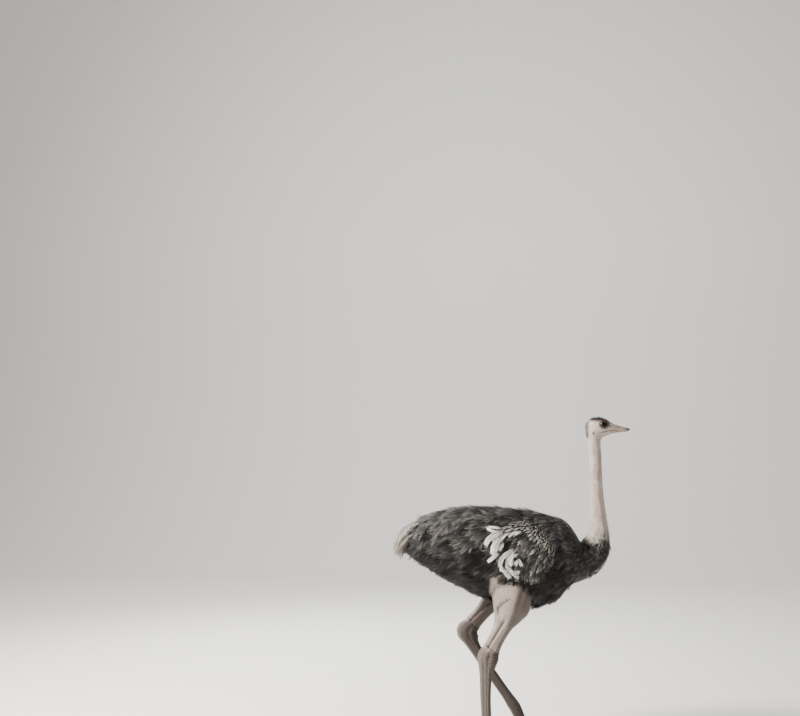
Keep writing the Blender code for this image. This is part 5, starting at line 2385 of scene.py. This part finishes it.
@dataclass
class NeckDown:
    """The sparse down on the neck, the bristles on the crown and the lashes."""

    head: HeadAndNeck
    spacing: float = 0.0036
    lashes: int = 26

    def bed(self) -> Bed:
        """The head's and neck's bed.

        Returns:
            The bed.
        """
        tube = self.head.tube()
        grid = tube.unrolled()[::2, ::2]
        along = np.repeat(tube.along[::2, None], grid.shape[1], 1)
        normals = surface_normals(grid, tube.centres[::2, None])
        lie = turned_lie(flattened(along, normals), normals, 0.35 * ripple(grid, 0.03, 18))
        x, y, z = grid[..., 0], np.abs(grid[..., 1]), grid[..., 2]
        eye = np.linalg.norm(np.stack([x, y, z], -1) - np.array([0.664, 0.038, 1.866]), axis=-1)
        ear = np.linalg.norm(np.stack([x, y, z], -1) - np.array(self.head.ear_place), axis=-1)
        head = smooth(1.78, 1.81, z)
        crown = smooth(1.878, 1.896, z + 0.12 * (x - 0.64)) + smooth(0.592, 0.580, x) * smooth(1.74, 1.82, z)
        crown = np.clip(crown, 0, 1) * smooth(0.030, 0.014, y)
        low = smooth(1.36, 1.24, z)
        size = 0.0065 + 0.010 * low + head * (0.0125 * crown - 0.0020)
        thick = 0.60 + 0.40 * np.maximum(crown * head, 0.5 * head) + 0.4 * low
        thick = thick * smooth(0.024, 0.029, eye) * smooth(0.728, 0.712, x)
        thick = np.clip(thick * smooth(0.006, 0.009, ear) * smooth(1.20, 1.23, z), 0, 1)
        # painted shade: the down round the eye is darkened; the crown's black is its own
        shade = 0.30 + 0.25 * ripple(grid, 0.02, 19) - 1.6 * crown * head - 1.0 * smooth(0.034, 0.026, eye)
        lift = np.radians(12) + 0.15 * low + 0.30 * crown * head
        return Bed(grid, normals, lie, lift, size, thick, shade)

    def tuft(self, name: str, seed: int) -> Object:
        """A few hairs from one root, of unit length.

        Args:
            name: The object's name.
            seed: What its unevenness comes from.

        Returns:
            The object.
        """
        rng = np.random.default_rng(seed)
        blades = Blades()
        n = 3
        turn = rng.uniform(-0.5, 0.5, n)
        way = np.stack([np.cos(turn), np.sin(turn), rng.uniform(-0.1, 0.25, n)], -1)
        across = np.stack([-np.sin(turn), np.cos(turn), 0 * turn], -1)
        start = np.stack([rng.uniform(0, 0.2, n), rng.uniform(-0.15, 0.15, n), 0 * turn - 0.02], -1)
        bend, patch = np.tile([0.0, 0.0, -0.18], (n, 1)), np.tile([0.5, 0.5], (n, 1))
        length, zero = rng.uniform(0.7, 1.1, n), np.zeros(n)
        blades.add(start, way, bend, across, length, np.full(n, 0.060), (zero, np.ones(n)), patch, zero, 1)
        return blades.mesh(name, shift=False)

    def build(self, finish: Down, lash_finish: Plumage) -> None:
        """Plants the down and sets the lashes.

        Args:
            finish: The down's finish.
            lash_finish: The lashes' finish.
        """
        shapes = [self.tuft(f"down_{k}", 80 + k) for k in range(4)]
        material = finish.material()
        scatter = Scatter("neck_down", shapes, material, self.spacing, 400, tilt_spread=10, yaw_spread=24)
        finish_piece(scatter.plant(self.bed().surface("down_bed")), "bare_skin", material)
        discard(shapes)
        black = lash_finish.material()
        for side in Side:
            rng = np.random.default_rng(90)
            centre, axis, forward, up = self.head.eye_axes(side)
            phi = np.linspace(0.35, np.pi - 0.35, self.lashes) + rng.uniform(-0.03, 0.03, self.lashes)
            edge = self.head.opening_at(phi)[:, None]
            radial = np.cos(phi)[:, None] * forward + np.sin(phi)[:, None] * up
            start = centre + (self.head.eye_radius + 1.0 * MM) * (np.cos(edge) * axis + np.sin(edge) * radial)
            way = unit(axis * 0.95 + radial * 0.55 + rng.normal(0, 0.08, (self.lashes, 3)))
            blades = Blades()
            one = np.ones(self.lashes)
            bend, across = 0.35 * up - 0.1 * axis + 0 * way, unit(np.cross(way, up))
            length = rng.uniform(8, 12, self.lashes) * MM
            patch = np.stack([0.5 * one, np.linspace(0, 1, self.lashes)], 1)
            blades.add(start, way, bend, across, length, one * 0.55 * MM, (0 * one, one), patch, 0 * one, 3)
            made = blades.mesh(f"lashes_{side.word}")
            bake_map(made, np.repeat(np.stack([0.05 + 0.9 * phi / np.pi, 0.5 * one], 1), 9, 0))
            finish_piece(made, "black_plumage", black)


# Studio


@dataclass
class Studio:
    """A pale floor that sweeps up behind into a backdrop, soft lamps and the camera."""

    camera_place: Place = (0.086, -6.0, 1.84)
    pitch: float = 3.9
    yaw: float = 5.47
    lens: float = 46.98
    floor_reach: float = 16.0
    sweep_start: float = 7.0
    sweep_radius: float = 5.0
    sweep_height: float = 13.0
    lamps: Sequence[tuple] = (  # name, place, size, watts, colour
        ("key", (-4.2, -2.0, 4.2), 1.2, 1050.0, "FFF9F2"),
        ("fill", (4.2, -4.0, 2.4), 3.0, 50.0, "F1F5FF"),
        ("rim", (-2.4, 3.6, 3.4), 2.0, 180.0, "FFFFFF"),
        ("backdrop", (-1.0, 2.0, 7.0), 5.0, 620.0, "FFFFFF"),
    )

    def build(self) -> None:
        """Makes all of it."""
        camera = bpy.data.objects.new("camera", bpy.data.cameras.new("camera"))
        camera.data.lens, camera.data.sensor_width = self.lens, 36.0
        camera.location = np.array(self.camera_place) + SHIFT
        camera.rotation_euler = (math.radians(90 + self.pitch), 0.0, math.radians(self.yaw))
        bpy.context.scene.collection.objects.link(camera)
        bpy.context.scene.camera = camera
        for name, place, size, watts, colour in self.lamps:
            aim = Vector((0.0, 12.0, 3.0)) if name == "backdrop" else Vector((0.0, 0.0, 1.1))
            lamp = bpy.data.lights.new(name, "AREA")
            lamp.shape, lamp.size, lamp.energy, lamp.color = "DISK", size, watts, linear(colour)[:3]
            made = bpy.data.objects.new(name, lamp)
            made.location = place
            made.rotation_euler = (aim - Vector(place)).to_track_quat("-Z", "Y").to_euler()
            bpy.context.scene.collection.objects.link(made)
        world = bpy.data.worlds.new("studio")
        world.use_nodes = True
        world.node_tree.nodes["Background"].inputs["Color"].default_value = linear("F3F2F0")
        world.node_tree.nodes["Background"].inputs["Strength"].default_value = 0.38
        bpy.context.scene.world = world
        turn = np.linspace(0, np.pi / 2, 25)
        run = self.sweep_start + self.sweep_radius * np.sin(turn)
        rise = self.sweep_radius * (1 - np.cos(turn))
        line = np.concatenate([[(-self.floor_reach, 0)], np.stack([run, rise], 1), [(run[-1], self.sweep_height)]])
        across = np.array([-self.floor_reach, self.floor_reach])
        grid = np.stack([np.tile(across, (len(line), 1)), *(np.repeat(v[:, None], 2, 1) for v in line.T)], -1)
        floor = make_object("floor", grid.reshape(-1, 3), grid_faces(len(line), 2, wrap=False))
        floor.data.shade_smooth()
        floor.data.materials.append(Ground("matt painted floor").material())


def main() -> None:
    """Builds the bird and the studio round it."""
    logging.basicConfig(level=logging.INFO, format="%(name)s: %(message)s")
    Studio().build()
    head = HeadAndNeck()
    Skin(head, LEGS).build(BareSkin("bare skin"))
    Bill().build(Horn("bill horn"))
    Eyes(head).build(WetEye("wet eye"))
    Claws(LEGS).build(Horn("claw horn"))
    black = Plumage("black plumage")
    BlackCoat().build(black)
    Collar(head).build(black)
    ThighFringe(LEGS).build(black)
    # the coverts' pale worn colour is mostly a painted highlight on the top edge's tips
    WingCoverts().build(Plumage("wing covert plumage", root="0A0A09", middle="57544F", worn="EAE5DD"))
    white = Plumage("white plumage", root="7E776D", middle="ECE8E0", worn="FFFDF8", uneven=0.55)
    WingPlumes().build(white)
    # a greyer copy of the white plumage: the tail in painted shade
    Tail().build(Plumage("tail plumage", root="5E574E", middle="B9B2A6", worn="EFEAE0"))
    NeckDown(head).build(Down("down", root="6B5B50", middle="EEE8E0"), Plumage("lash bristle"))


if __name__ == "__main__":
    main()
